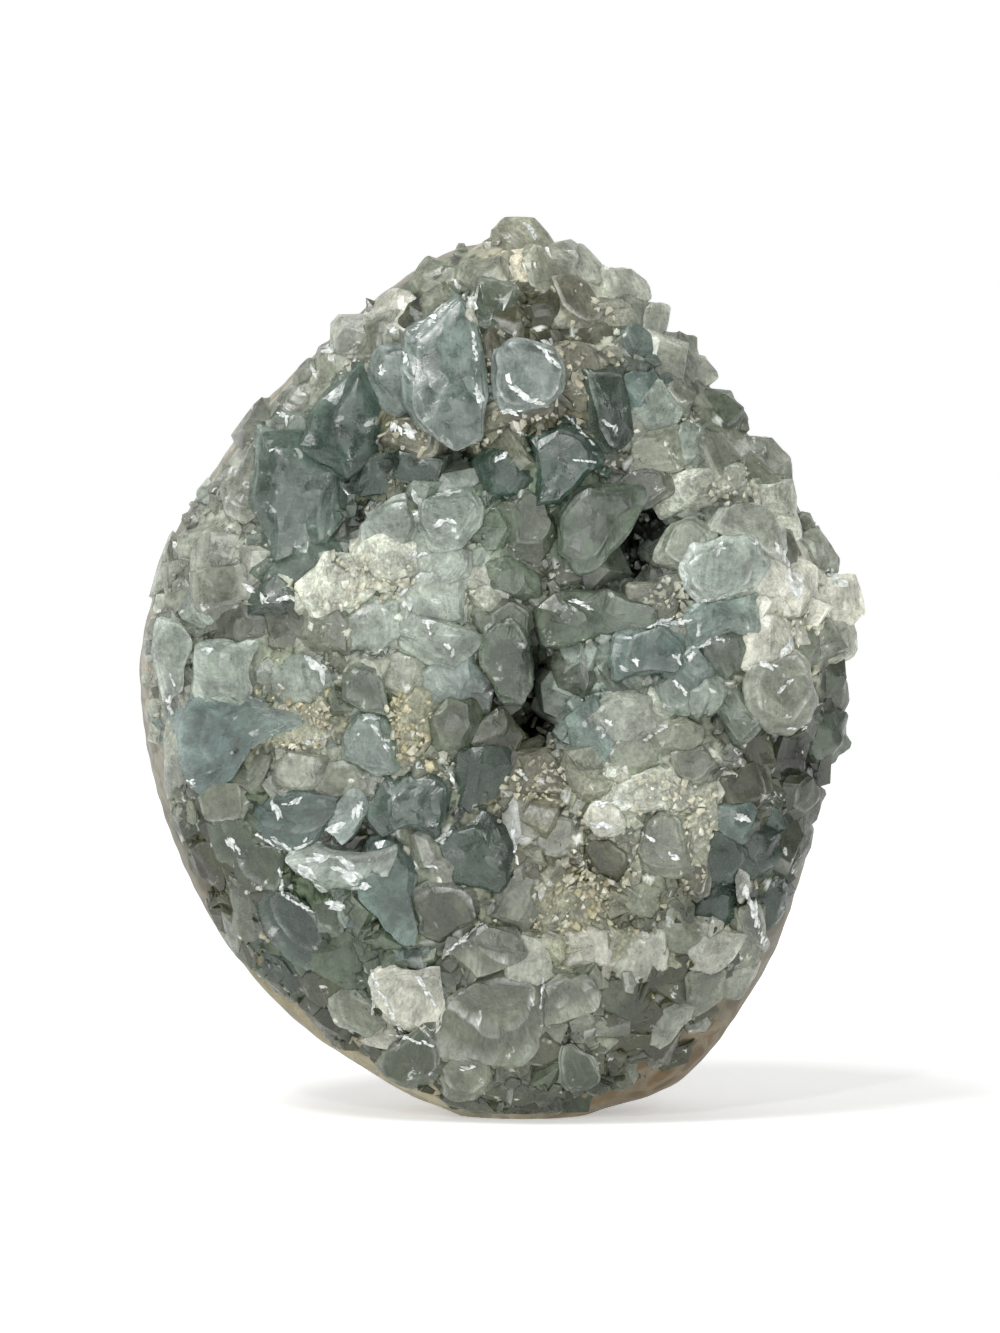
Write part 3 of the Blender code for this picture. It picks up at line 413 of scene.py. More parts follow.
# The main crystals: head form, x, z, width, height, turn, lean right, lean up (degrees), proud of the
# bed, tone
CRYSTALS = (
    ("round", 2.0, 88.3, 5.2, 6.2, 0, 0, 10, 1.6, "grey"),
    ("block", 4.8, 85.4, 4.0, 6.4, 0, 4, 6, 1.4, "sage"),
    ("block", 7.8, 86.4, 5.0, 4.4, -6, 6, 9, 2.2, "pale"),
    ("block", 8.4, 82.0, 5.2, 5.2, 0, 8, 0, 1.2, "brown"),
    ("block", -10.2, 81.0, 5.8, 6.0, -35, -4, 10, 0.8, "white"),
    ("block", -0.4, 81.4, 4.2, 6.2, 0, 0, 4, 2.0, "grey_green"),
    # This white wedge is a painted glint
    ("wedge", -3.0, 80.8, 2.2, 4.4, 10, 8, 6, 3.4, "white"),
    ("kite", -5.6, 74.9, 7.9, 13.2, 0, 3, 6, 4.2, "blue_grey"),
    ("shield", 2.8, 74.1, 6.7, 6.9, 0, 2, 4, 4.4, "glass"),
    ("block", 4.6, 80.2, 5.6, 4.8, 0, 2, -8, 0.8, "olive"),
    ("block", 12.6, 81.8, 4.6, 4.6, -10, 4, 7, 1.6, "grey"),
    ("slab", 15.9, 79.4, 2.8, 4.6, 50, 5, 7, 1.6, "pale"),
    ("hex", 14.0, 77.6, 4.2, 3.6, 0, 6, 10, 1.8, "slate"),
    ("block", 19.2, 75.2, 5.6, 3.8, -10, 5, 4, 2.2, "pale"),
    ("slab", 10.9, 71.6, 4.0, 7.4, 4, 4, 2, 3.0, "slate_dark"),
    ("block", 14.6, 74.2, 4.8, 3.4, 0, 4, 8, 2.2, "slate"),
    ("hex", 18.2, 72.2, 4.8, 4.4, 0, 10, 2, 2.0, "grey"),
    ("hex", 15.0, 70.6, 5.2, 5.2, 12, 4, 0, 2.4, "teal_pale"),
    ("round", 22.2, 70.8, 4.8, 5.0, 0, 6, 4, 2.0, "slate_grey"),
    ("hex", 18.8, 67.6, 4.6, 4.4, 0, 6, 0, 1.8, "teal_pale"),
    ("round", 27.0, 66.2, 5.2, 5.0, 0, 7, 8, 1.8, "pale"),
    ("block", 27.8, 61.4, 5.6, 4.8, 0, 5, 4, 2.0, "cream"),
    ("slab", 22.2, 63.6, 3.6, 6.8, 84, 6, 2, 1.8, "cream"),
    ("block", -16.6, 76.6, 4.6, 5.6, -30, -5, 10, 1.8, "sage"),
    ("block", -12.9, 77.8, 4.8, 6.0, -15, -8, 6, 1.2, "sage"),
    ("tooth", -14.8, 69.4, 8.8, 11.0, 0, 2, 4, 3.6, "green_dark"),
    ("hex", -21.6, 68.8, 6.4, 4.0, 0, -8, 10, 2.2, "teal_pale"),
    ("slate", -19.8, 62.2, 9.0, 11.8, 0, 4, 6, 4.0, "teal"),
    ("hex", -20.0, 56.2, 7.0, 6.8, 0, -2, -6, 2.6, "teal"),
    ("slab", -25.2, 64.4, 5.0, 7.2, -18, -4, 4, 2.2, "ice"),
    ("round", -28.8, 57.6, 4.8, 4.8, 0, -5, 2, 1.6, "pale"),
    ("block", -27.2, 53.4, 7.0, 4.6, 0, -8, -4, 1.8, "grey"),
    ("hex", -22.4, 52.4, 5.4, 3.6, 0, -2, 8, 2.4, "slate_dark"),
    ("round", -25.2, 49.6, 6.2, 4.4, 0, -6, 4, 2.0, "grey_dark"),
    ("block", -12.6, 64.0, 5.0, 4.8, 0, 0, -8, 1.4, "slate_dark"),
    ("block", -8.8, 68.6, 4.2, 3.6, 0, 0, 4, 2.4, "brown"),
    ("hex", 0.2, 64.6, 4.8, 5.6, 0, -4, 4, 2.6, "green_dark"),
    ("hex", 3.2, 59.4, 6.0, 7.0, 0, 4, 2, 2.6, "grey_dark"),
    ("hex", 0.4, 53.8, 5.4, 4.4, 0, 0, 4, 2.6, "grey_green"),
    ("block", -5.8, 56.2, 7.0, 4.0, 0, 0, 0, 2.4, "ice"),
    ("round", -10.6, 55.6, 5.6, 4.8, 0, -2, 0, 3.0, "cream"),
    ("round", -15.8, 53.8, 6.8, 4.8, 0, -4, 6, 2.8, "cream"),
    ("round", -5.6, 52.8, 5.4, 4.8, 0, 2, 0, 3.0, "ice"),
    ("round", -12.8, 49.6, 5.4, 4.6, 0, 0, 0, 2.6, "ice"),
    ("slab", -6.6, 48.8, 4.4, 8.0, 92, 0, 6, 3.0, "teal_pale"),
    ("hex", -4.8, 44.8, 7.0, 6.4, 0, 0, 2, 2.8, "glass"),
    ("hex", -0.4, 49.2, 4.8, 5.8, 0, 4, 0, 2.8, "slate_grey"),
    ("round", 8.0, 50.6, 6.8, 5.6, 0, 0, 2, 3.2, "slate_grey"),
    ("hex", 8.2, 45.2, 5.2, 5.4, 0, -2, 0, 1.8, "grey_dark"),
    ("hex", 22.2, 46.4, 4.8, 4.8, 0, 6, 0, 2.4, "grey_green"),
    ("diamond", 20.0, 42.2, 4.8, 5.4, 0, 4, 4, 3.2, "ice"),
    ("hex", 9.6, 39.6, 5.6, 6.2, 0, 0, 2, 2.8, "blue_grey"),
    ("round", 13.6, 40.2, 6.4, 5.4, 0, 2, 0, 3.0, "pale"),
    ("round", 18.2, 58.0, 4.8, 4.4, 0, -4, 4, 2.8, "sage"),
    ("round", 26.2, 55.4, 5.4, 5.8, 0, 8, 4, 3.2, "white"),
    ("block", 32.0, 56.6, 4.0, 4.2, 0, 8, 6, 1.6, "grey"),
    ("round", 29.6, 53.2, 5.4, 5.6, 0, 5, 2, 2.8, "white"),
    ("round", 34.9, 52.6, 4.4, 4.8, 0, 10, 2, 1.8, "white"),
    ("block", 34.5, 48.4, 4.8, 5.0, 0, 8, 0, 1.6, "cream"),
    ("round", 27.2, 48.0, 5.6, 5.8, 0, 10, 0, 3.0, "white"),
    ("slab", 21.8, 50.4, 3.8, 6.4, 88, 4, 0, 2.8, "blue_grey"),
    ("block", 34.0, 43.6, 5.0, 5.8, 0, 8, 0, 1.6, "slate_grey"),
    ("round", 33.6, 38.4, 4.8, 5.4, 0, 9, -4, 1.8, "grey_green"),
    ("hex", 30.2, 31.6, 6.2, 5.4, 0, 5, -4, 1.6, "grey_dark"),
    ("hex", 23.7, 30.9, 4.4, 4.2, 0, 6, 8, 2.4, "slate"),
    ("hex", 22.0, 26.6, 5.0, 5.2, 0, 4, -2, 1.8, "slate_dark"),
    ("hex", 26.4, 26.8, 5.4, 5.8, 10, 10, -4, 1.8, "slate_dark"),
    ("hex", 21.8, 22.0, 5.2, 5.4, 0, 4, -4, 1.6, "slate_dark"),
    ("block", 27.6, 21.6, 4.8, 5.4, -20, 4, -6, 1.2, "slate_dark"),
    ("slab", 25.2, 17.6, 4.2, 5.4, -20, 8, -6, 1.8, "sage"),
    ("round", 5.4, 29.0, 6.0, 6.0, 0, 0, 0, 1.0, "pale"),
    ("block", 2.2, 22.6, 5.0, 5.8, 0, 0, -2, 1.6, "grey"),
    ("round", 7.6, 22.4, 6.4, 5.4, 0, 0, -2, 1.4, "golden"),
    ("block", 14.4, 22.8, 6.4, 5.2, 0, 2, -2, 2.0, "sage"),
    ("round", 13.0, 17.2, 5.4, 5.0, 0, 2, -4, 1.8, "frost"),
    ("hex", 17.6, 18.8, 5.0, 4.8, 0, 4, -4, 1.6, "sage"),
    ("round", 12.8, 12.4, 6.0, 4.0, 0, 2, -8, 1.2, "grey_dark"),
    ("round", 20.6, 13.4, 5.0, 5.4, 0, 6, -8, 1.2, "sage"),
    ("round", 17.2, 9.4, 4.6, 5.0, 0, 4, -6, 0.7, "pale"),
    ("round", -19.7, 35.4, 5.0, 4.2, 0, -4, 4, 2.6, "pale"),
    ("hex", -26.4, 27.8, 5.4, 5.2, 0, -10, -2, 1.8, "slate_grey"),
    ("block", -23.2, 25.0, 5.4, 5.8, 0, -8, -4, 2.0, "slate_grey"),
    ("hex", -19.6, 44.8, 5.6, 5.0, 0, -2, 4, 2.6, "ice"),
    ("round", -19.4, 40.2, 6.6, 4.8, 0, -2, 0, 2.2, "golden"),
    ("round", -8.8, 40.2, 5.0, 7.0, 0, 0, 0, 2.2, "golden"),
    ("hex", -4.6, 39.4, 5.4, 6.0, 0, 2, 0, 2.6, "slate_grey"),
    ("block", -1.8, 34.2, 5.8, 6.4, 0, 2, -2, 2.4, "slate_dark"),
    ("hex", -1.8, 28.3, 7.0, 6.6, 0, 2, 2, 3.2, "slate_dark"),
    ("slab", -26.0, 20.4, 4.6, 7.2, 38, -4, -8, 1.0, "grey"),
    ("slab", -15.2, 17.0, 5.0, 6.2, 70, -2, -8, 1.6, "slate_grey"),
    ("round", 3.4, 17.6, 4.4, 4.6, 0, 2, -2, 2.4, "frost"),
    ("round", -6.2, 84.6, 5.6, 4.4, 15, -4, 14, 1.2, "sage"),
    ("round", -2.0, 85.2, 4.8, 4.6, 0, 0, 12, 1.4, "grey"),
    ("slab", -6.8, 81.6, 3.4, 5.6, -60, -4, 12, 1.0, "sage"),
    ("wedge", -9.4, 77.2, 4.0, 5.0, -20, -8, 14, 2.4, "pale"),
    ("slab", 2.6, 70.4, 2.4, 6.6, 84, 0, -12, 2.6, "brown"),
    ("slab", -0.6, 76.0, 2.8, 6.0, 6, -4, 2, 1.6, "brown"),
    ("hex", 9.6, 78.6, 5.2, 4.2, 0, 6, -6, 0.6, "olive"),
    ("block", 18.2, 77.4, 4.4, 3.8, 0, 4, 4, 1.6, "grey"),
    ("block", 12.5, 83.5, 4.4, 3.2, -8, 4, 4, 1.4, "pale"),
    ("round", 7.8, 75.4, 5.0, 4.6, 0, 0, 0, 1.0, "brown"),
    ("slab", 14.2, 66.8, 3.6, 5.4, 80, 2, -6, 1.8, "sage"),
    ("block", 22.8, 66.8, 5.0, 4.2, -10, 10, 4, 1.8, "grey"),
    ("round", 14.2, 64.0, 5.0, 3.4, 0, 0, 0, 0.6, "grey_dark"),
    ("hex", -19.6, 74.6, 3.6, 3.8, 0, -16, 8, 1.2, "sage"),
    ("block", -20.4, 71.6, 5.2, 3.8, -20, -10, 6, 1.4, "grey"),
    ("hex", -31.6, 51.2, 4.6, 4.4, 0, -14, 2, 1.0, "teal_pale"),
    ("block", -20.6, 49.6, 3.8, 4.6, 0, 0, 0, 1.6, "grey_dark"),
    ("slab", -8.2, 65.2, 3.2, 5.4, 100, 0, -6, 1.6, "slate_dark"),
    ("slab", -2.6, 68.6, 3.0, 6.0, 98, 0, -8, 1.4, "brown"),
    ("block", -17.4, 49.6, 4.2, 4.6, 0, -2, -2, 2.4, "stone_grey"),
    ("hex", -9.6, 45.2, 4.8, 4.6, 0, 0, 4, 2.6, "pale"),
    ("slab", 13.4, 50.6, 3.0, 6.2, 96, 2, 8, 2.6, "grey_green"),
    ("hex", 18.6, 46.6, 4.4, 4.2, 0, 4, 6, 2.6, "blue_grey"),
    ("hex", 16.8, 42.6, 3.8, 3.8, 0, 2, 0, 2.2, "teal_pale"),
    ("slab", 23.4, 41.8, 3.4, 6.2, 0, 8, -4, 2.0, "grey_green"),
    ("hex", 18.0, 38.8, 5.0, 3.8, 0, 4, -4, 2.2, "sage"),
    ("block", 14.4, 36.2, 5.6, 3.6, 0, 0, 0, 2.2, "sage"),
    ("round", 29.4, 57.4, 4.0, 4.0, 0, 12, 2, 1.6, "olive"),
    ("block", 16.4, 52.2, 5.0, 4.2, 0, 0, 2, 2.2, "brown"),
    ("hex", 31.2, 46.6, 4.4, 4.6, 0, 16, -2, 1.6, "slate_grey"),
    # A near-black crystal sunk in a hollow: painted shade
    ("round", 29.4, 36.4, 5.0, 5.2, 0, 12, -10, 0.2, "hollow_shade"),
    ("block", 25.0, 36.8, 4.2, 4.4, 0, 8, -8, 0.8, "olive"),
    ("block", 24.2, 33.8, 5.0, 3.8, 0, 6, -6, 1.4, "olive"),
    ("slab", 30.2, 26.4, 3.8, 6.0, -10, 16, -4, 1.2, "grey_dark"),
    ("block", 21.8, 17.8, 4.8, 4.2, 0, 4, -4, 1.6, "frost"),
    ("slab", 19.4, 26.2, 3.2, 6.4, 4, 2, 0, 2.0, "brown"),
    ("hex", 10.6, 26.6, 4.8, 4.8, 0, 0, 0, 1.6, "olive"),
    ("round", 3.8, 34.4, 6.0, 5.0, 0, 0, 0, 1.2, "brown"),
    ("block", 8.2, 17.2, 5.0, 4.4, 0, 0, -4, 1.8, "white"),
    ("block", 17.4, 14.8, 5.0, 3.8, 0, 4, -8, 1.0, "olive"),
    ("round", 24.2, 14.0, 3.8, 4.4, 0, 8, -10, 0.8, "pale"),
    ("block", 12.8, 8.8, 4.8, 4.2, 0, 2, -14, 0.5, "olive"),
    ("wedge", -24.2, 34.6, 4.4, 6.2, 0, -8, 0, 2.0, "grey"),
    ("block", -28.4, 31.8, 5.2, 4.2, 0, -12, -2, 1.4, "sage"),
    ("slab", -32.6, 35.6, 3.8, 7.0, -6, -20, -2, 1.0, "pale"),
    ("block", -29.2, 25.2, 4.8, 4.6, 0, -14, -6, 0.8, "olive"),
    ("round", -15.6, 34.2, 4.6, 4.4, 0, 0, 2, 2.4, "sage"),
    ("round", -0.9, 39.0, 4.0, 4.4, 0, 4, 0, 1.6, "grey_dark"),
    ("hex", -6.4, 26.2, 5.4, 4.4, 0, 0, 0, 2.4, "pale"),
    ("hex", -18.6, 13.2, 5.8, 4.8, 0, -6, -10, 1.0, "olive"),
    ("round", -14.2, 10.2, 5.0, 5.0, 0, -4, -12, 0.8, "sage"),
    ("hex", 4.4, 6.8, 5.6, 5.0, 0, 0, -16, 0.4, "olive"),
)

# Crystals whose outline was measured: name, leans to the right and up, how proud, tone, and outline as
# (x, z)
MEASURED = (
    ("ice_wing", -6, 6, 3.4, "glass", ((-10.0, 77.0), (-12.0, 76.3), (-12.8, 73.9), (-11.6, 71.3),
        (-10.0, 70.3), (-7.6, 71.1), (-7.0, 74.0), (-8.0, 76.5))),
    ("teal_round", -2, 4, 3.4, "green_dark", ((-5.2, 35.8), (-8.0, 36.0), (-10.8, 35.1), (-12.4, 33.0),
        (-12.8, 30.9), (-11.4, 28.9), (-9.0, 29.7), (-6.8, 29.1), (-5.4, 27.3), (-4.4, 29.3), (-4.2, 32.0),
        (-4.5, 34.3))),
    ("column", -2, 0, 3.2, "slate", ((-10.2, 28.7), (-12.8, 27.9), (-13.6, 25.5), (-13.2, 23.1),
        (-11.6, 21.3), (-10.8, 18.5), (-9.6, 17.5), (-8.4, 19.0), (-8.8, 23.0), (-7.6, 25.9),
        (-8.6, 27.9))),
    ("bright", -2, 6, 4.4, "ice", ((-17.5, 27.9), (-20.0, 27.5), (-21.6, 25.9), (-21.5, 23.1),
        (-19.8, 21.8), (-16.5, 21.0), (-14.0, 21.9), (-12.8, 23.7), (-12.9, 25.9), (-14.8, 27.3))),
    ("dark_block", 0, -4, 2.0, "grey_dark", ((-6.8, 24.5), (-8.7, 23.3), (-8.8, 21.5), (-7.8, 19.0),
        (-6.0, 18.1), (-3.4, 20.1), (-1.2, 21.0), (-1.6, 23.5), (-2.8, 24.2))),
    ("arch", 0, 0, 2.8, "stone_grey", ((-1.3, 20.9), (-4.0, 19.0), (-5.2, 17.3), (-5.4, 15.3),
        (-3.0, 14.9), (0.0, 16.0), (3.0, 16.7), (4.1, 17.7), (2.0, 19.7))),
    ("grey_round", 0, -6, 3.0, "stone_grey", ((0.5, 16.0), (-3.0, 15.0), (-5.4, 13.0), (-6.0, 10.5),
        (-6.2, 7.9), (-5.4, 5.7), (-2.5, 6.9), (0.2, 5.5), (2.2, 5.7), (3.6, 8.5), (4.6, 11.0),
        (4.6, 14.0), (3.8, 15.8))),
    ("frosty", -2, -2, 3.8, "white", ((-10.5, 16.1), (-12.3, 15.5), (-12.8, 13.3), (-12.6, 11.3),
        (-11.6, 9.5), (-9.8, 8.7), (-8.0, 7.9), (-6.3, 7.9), (-6.0, 10.5), (-5.6, 12.5), (-7.5, 14.3))),
    ("sage_round", 0, -6, 3.0, "grey", ((6.2, 15.5), (4.3, 13.9), (4.0, 11.8), (4.6, 9.9), (6.2, 9.5),
        (8.0, 10.3), (9.2, 11.7), (9.6, 13.1), (8.4, 14.9))),
    ("bluest", -6, -2, 4.0, "blue", ((-28.5, 42.2), (-31.7, 42.3), (-33.0, 40.7), (-33.2, 38.5),
        (-32.4, 36.3), (-31.0, 34.1), (-28.8, 33.3), (-26.8, 34.5), (-26.2, 36.7), (-24.8, 37.9),
        (-23.6, 39.3), (-24.2, 41.3), (-25.8, 42.1))),
    ("teal_block", -4, 6, 3.4, "teal_pale", ((-26.5, 48.0), (-29.7, 47.5), (-30.3, 45.3), (-31.6, 42.5),
        (-28.5, 42.3), (-25.5, 42.1), (-24.4, 43.5), (-25.3, 45.5), (-23.8, 47.0), (-23.8, 47.7))),
    ("edge_piece", -7, 0, 2.6, "ice", ((-32.8, 49.8), (-34.3, 49.3), (-34.6, 47.0), (-34.0, 44.0),
        (-33.1, 41.5), (-32.0, 42.7), (-31.6, 45.0), (-30.8, 47.5), (-31.4, 49.7))),
    ("green_wedge", 0, 0, 3.0, "grey_green", ((-13.8, 46.0), (-15.2, 44.7), (-15.6, 41.5), (-13.4, 41.2),
        (-11.2, 41.3), (-11.4, 43.5), (-12.1, 45.5))),
    ("wedge_foot", 0, 6, 3.2, "blue_grey", ((-11.2, 41.1), (-15.5, 41.2), (-15.9, 39.3), (-15.0, 36.7),
        (-12.8, 35.3), (-9.8, 35.8), (-10.4, 38.5))),
    ("splinter", 0, 6, 3.6, "glass", ((-14.6, 33.7), (-16.4, 31.5), (-17.2, 29.7), (-15.8, 28.3),
        (-14.2, 29.5), (-13.0, 31.5), (-13.6, 32.9))),
    ("left_bowl", -4, 2, 3.0, "slate", ((-21.0, 33.9), (-22.8, 33.5), (-23.8, 31.5), (-24.2, 29.5),
        (-22.4, 27.7), (-20.0, 27.2), (-18.0, 28.9), (-17.2, 31.5), (-18.2, 33.5))),
    ("cleft_wall", 4, 0, 3.4, "grey_green", ((0.0, 51.1), (-1.6, 49.3), (-2.0, 47.0), (-1.0, 44.7),
        (0.0, 42.5), (2.0, 42.2), (2.8, 44.5), (2.7, 48.5), (1.8, 50.9))),
    ("shell", -6, -6, 2.2, "slate_dark", ((-21.0, 22.7), (-23.2, 22.7), (-24.2, 21.0), (-23.8, 18.3),
        (-21.5, 16.3), (-19.0, 16.0), (-17.0, 17.7), (-17.6, 20.9), (-19.2, 22.1))),
    ("ice_left", -4, 6, 3.2, "ice", ((-8.8, 62.5), (-10.5, 61.9), (-13.6, 59.5), (-13.4, 57.0),
        (-12.0, 55.5), (-9.5, 56.3), (-8.0, 58.5), (-7.5, 61.0))),
    ("ice_mid", 2, 8, 3.8, "ice", ((-3.0, 63.1), (-5.5, 62.5), (-7.5, 61.8), (-8.4, 59.5), (-6.8, 57.0),
        (-4.0, 57.5), (-2.2, 59.5), (-1.8, 61.5))),
    ("dark_hex", 2, 4, 3.4, "green_dark", ((6.2, 69.5), (4.5, 68.5), (2.8, 67.5), (2.0, 64.5), (3.5, 61.5),
        (6.0, 61.5), (7.5, 63.5), (9.6, 65.3), (9.8, 67.5), (8.5, 68.7))),
    ("plain_face", 2, 4, 3.2, "grey_green", ((9.0, 63.5), (7.2, 62.3), (6.2, 59.5), (6.0, 57.0),
        (8.0, 55.3), (9.8, 55.5), (11.2, 57.5), (12.8, 59.5), (14.2, 61.5), (14.0, 62.9))),
    ("glint_slate", 2, 6, 3.4, "slate", ((15.0, 49.5), (11.4, 48.9), (11.2, 46.5), (11.8, 44.7),
        (14.5, 45.1), (17.2, 45.3), (18.4, 46.5), (17.8, 48.5))),
    ("pale_bowl", 4, 2, 3.8, "ice", ((22.0, 58.0), (19.0, 57.5), (17.9, 55.5), (18.2, 53.5), (19.8, 51.9),
        (22.2, 52.5), (25.0, 53.5), (26.2, 55.5), (25.0, 57.5))),
    ("pale_cap", 6, 8, 3.2, "pale", ((24.0, 61.7), (21.5, 61.0), (20.5, 59.0), (23.5, 57.5), (26.5, 56.0),
        (28.0, 57.0), (27.8, 59.0), (26.5, 60.7))),
    ("right_bowl", 10, 0, 3.8, "grey", ((27.5, 46.5), (25.2, 45.5), (24.2, 43.5), (24.5, 41.0),
        (26.2, 39.5), (28.5, 39.1), (30.3, 39.9), (31.2, 42.0), (30.6, 44.5), (29.5, 46.5))),
    ("left_slab", -8, 0, 2.6, "grey", ((-23.8, 67.5), (-25.5, 65.5), (-27.2, 63.3), (-27.0, 60.7),
        (-25.0, 60.0), (-22.8, 61.5), (-23.0, 63.7), (-22.5, 66.0))),
    ("cream_slab", 2, 2, 2.8, "cream", ((14.0, 35.3), (11.2, 34.0), (10.4, 32.9), (12.0, 31.5),
        (15.0, 31.3), (18.0, 31.7), (18.8, 33.5), (17.2, 34.9))),
    ("tall_slab", 4, 0, 2.4, "golden", ((20.0, 33.7), (18.8, 33.0), (18.0, 31.0), (18.4, 28.5),
        (19.0, 26.0), (20.0, 25.3), (20.6, 28.0), (21.2, 31.5), (21.5, 33.3))),
    ("button", 0, 2, 3.2, "white", ((10.5, 32.7), (8.8, 32.0), (8.4, 30.7), (9.2, 29.5), (11.2, 29.3),
        (12.2, 30.7), (11.8, 32.2))),
    ("glint_grey", 2, 4, 3.0, "stone_grey", ((16.0, 31.5), (14.5, 30.3), (13.6, 27.5), (14.0, 25.7),
        (16.2, 24.9), (19.0, 25.5), (18.8, 28.0), (18.0, 30.7))),
    ("dark_round", 4, -2, 2.8, "grey_dark", ((19.5, 37.7), (17.6, 37.3), (17.1, 36.0), (18.0, 34.7),
        (19.3, 34.0), (20.4, 34.5), (21.6, 36.0), (21.2, 37.3))),
    ("shard_top", 0, 4, 3.2, "pale", ((24.0, 25.1), (23.6, 24.0), (24.4, 22.3), (24.8, 21.5), (25.3, 22.7),
        (25.7, 23.5))),
    ("shard_foot", 6, 0, 2.6, "grey", ((25.0, 21.8), (24.0, 21.0), (24.2, 19.0), (25.2, 18.0),
        (26.2, 16.5), (26.8, 17.5), (26.4, 19.7), (25.7, 21.3))),
    ("low_round", -4, -12, 1.6, "slate_grey", ((-9.5, 7.9), (-11.2, 7.1), (-11.8, 5.7), (-11.2, 4.3),
        (-9.6, 3.5), (-7.4, 3.7), (-6.0, 5.3), (-6.4, 7.3), (-8.0, 7.9))),
    ("low_beige", 0, -12, 1.5, "sage", ((-3.0, 6.7), (-4.8, 6.1), (-5.6, 4.7), (-5.6, 2.9), (-4.4, 2.1),
        (-2.4, 2.3), (-1.2, 3.9), (-1.0, 5.7))),
    ("low_sage", 2, -12, 1.4, "slate_grey", ((7.8, 6.1), (6.2, 5.5), (6.0, 4.3), (7.0, 3.1), (8.8, 3.1),
        (9.8, 4.5), (9.4, 5.9))),
)
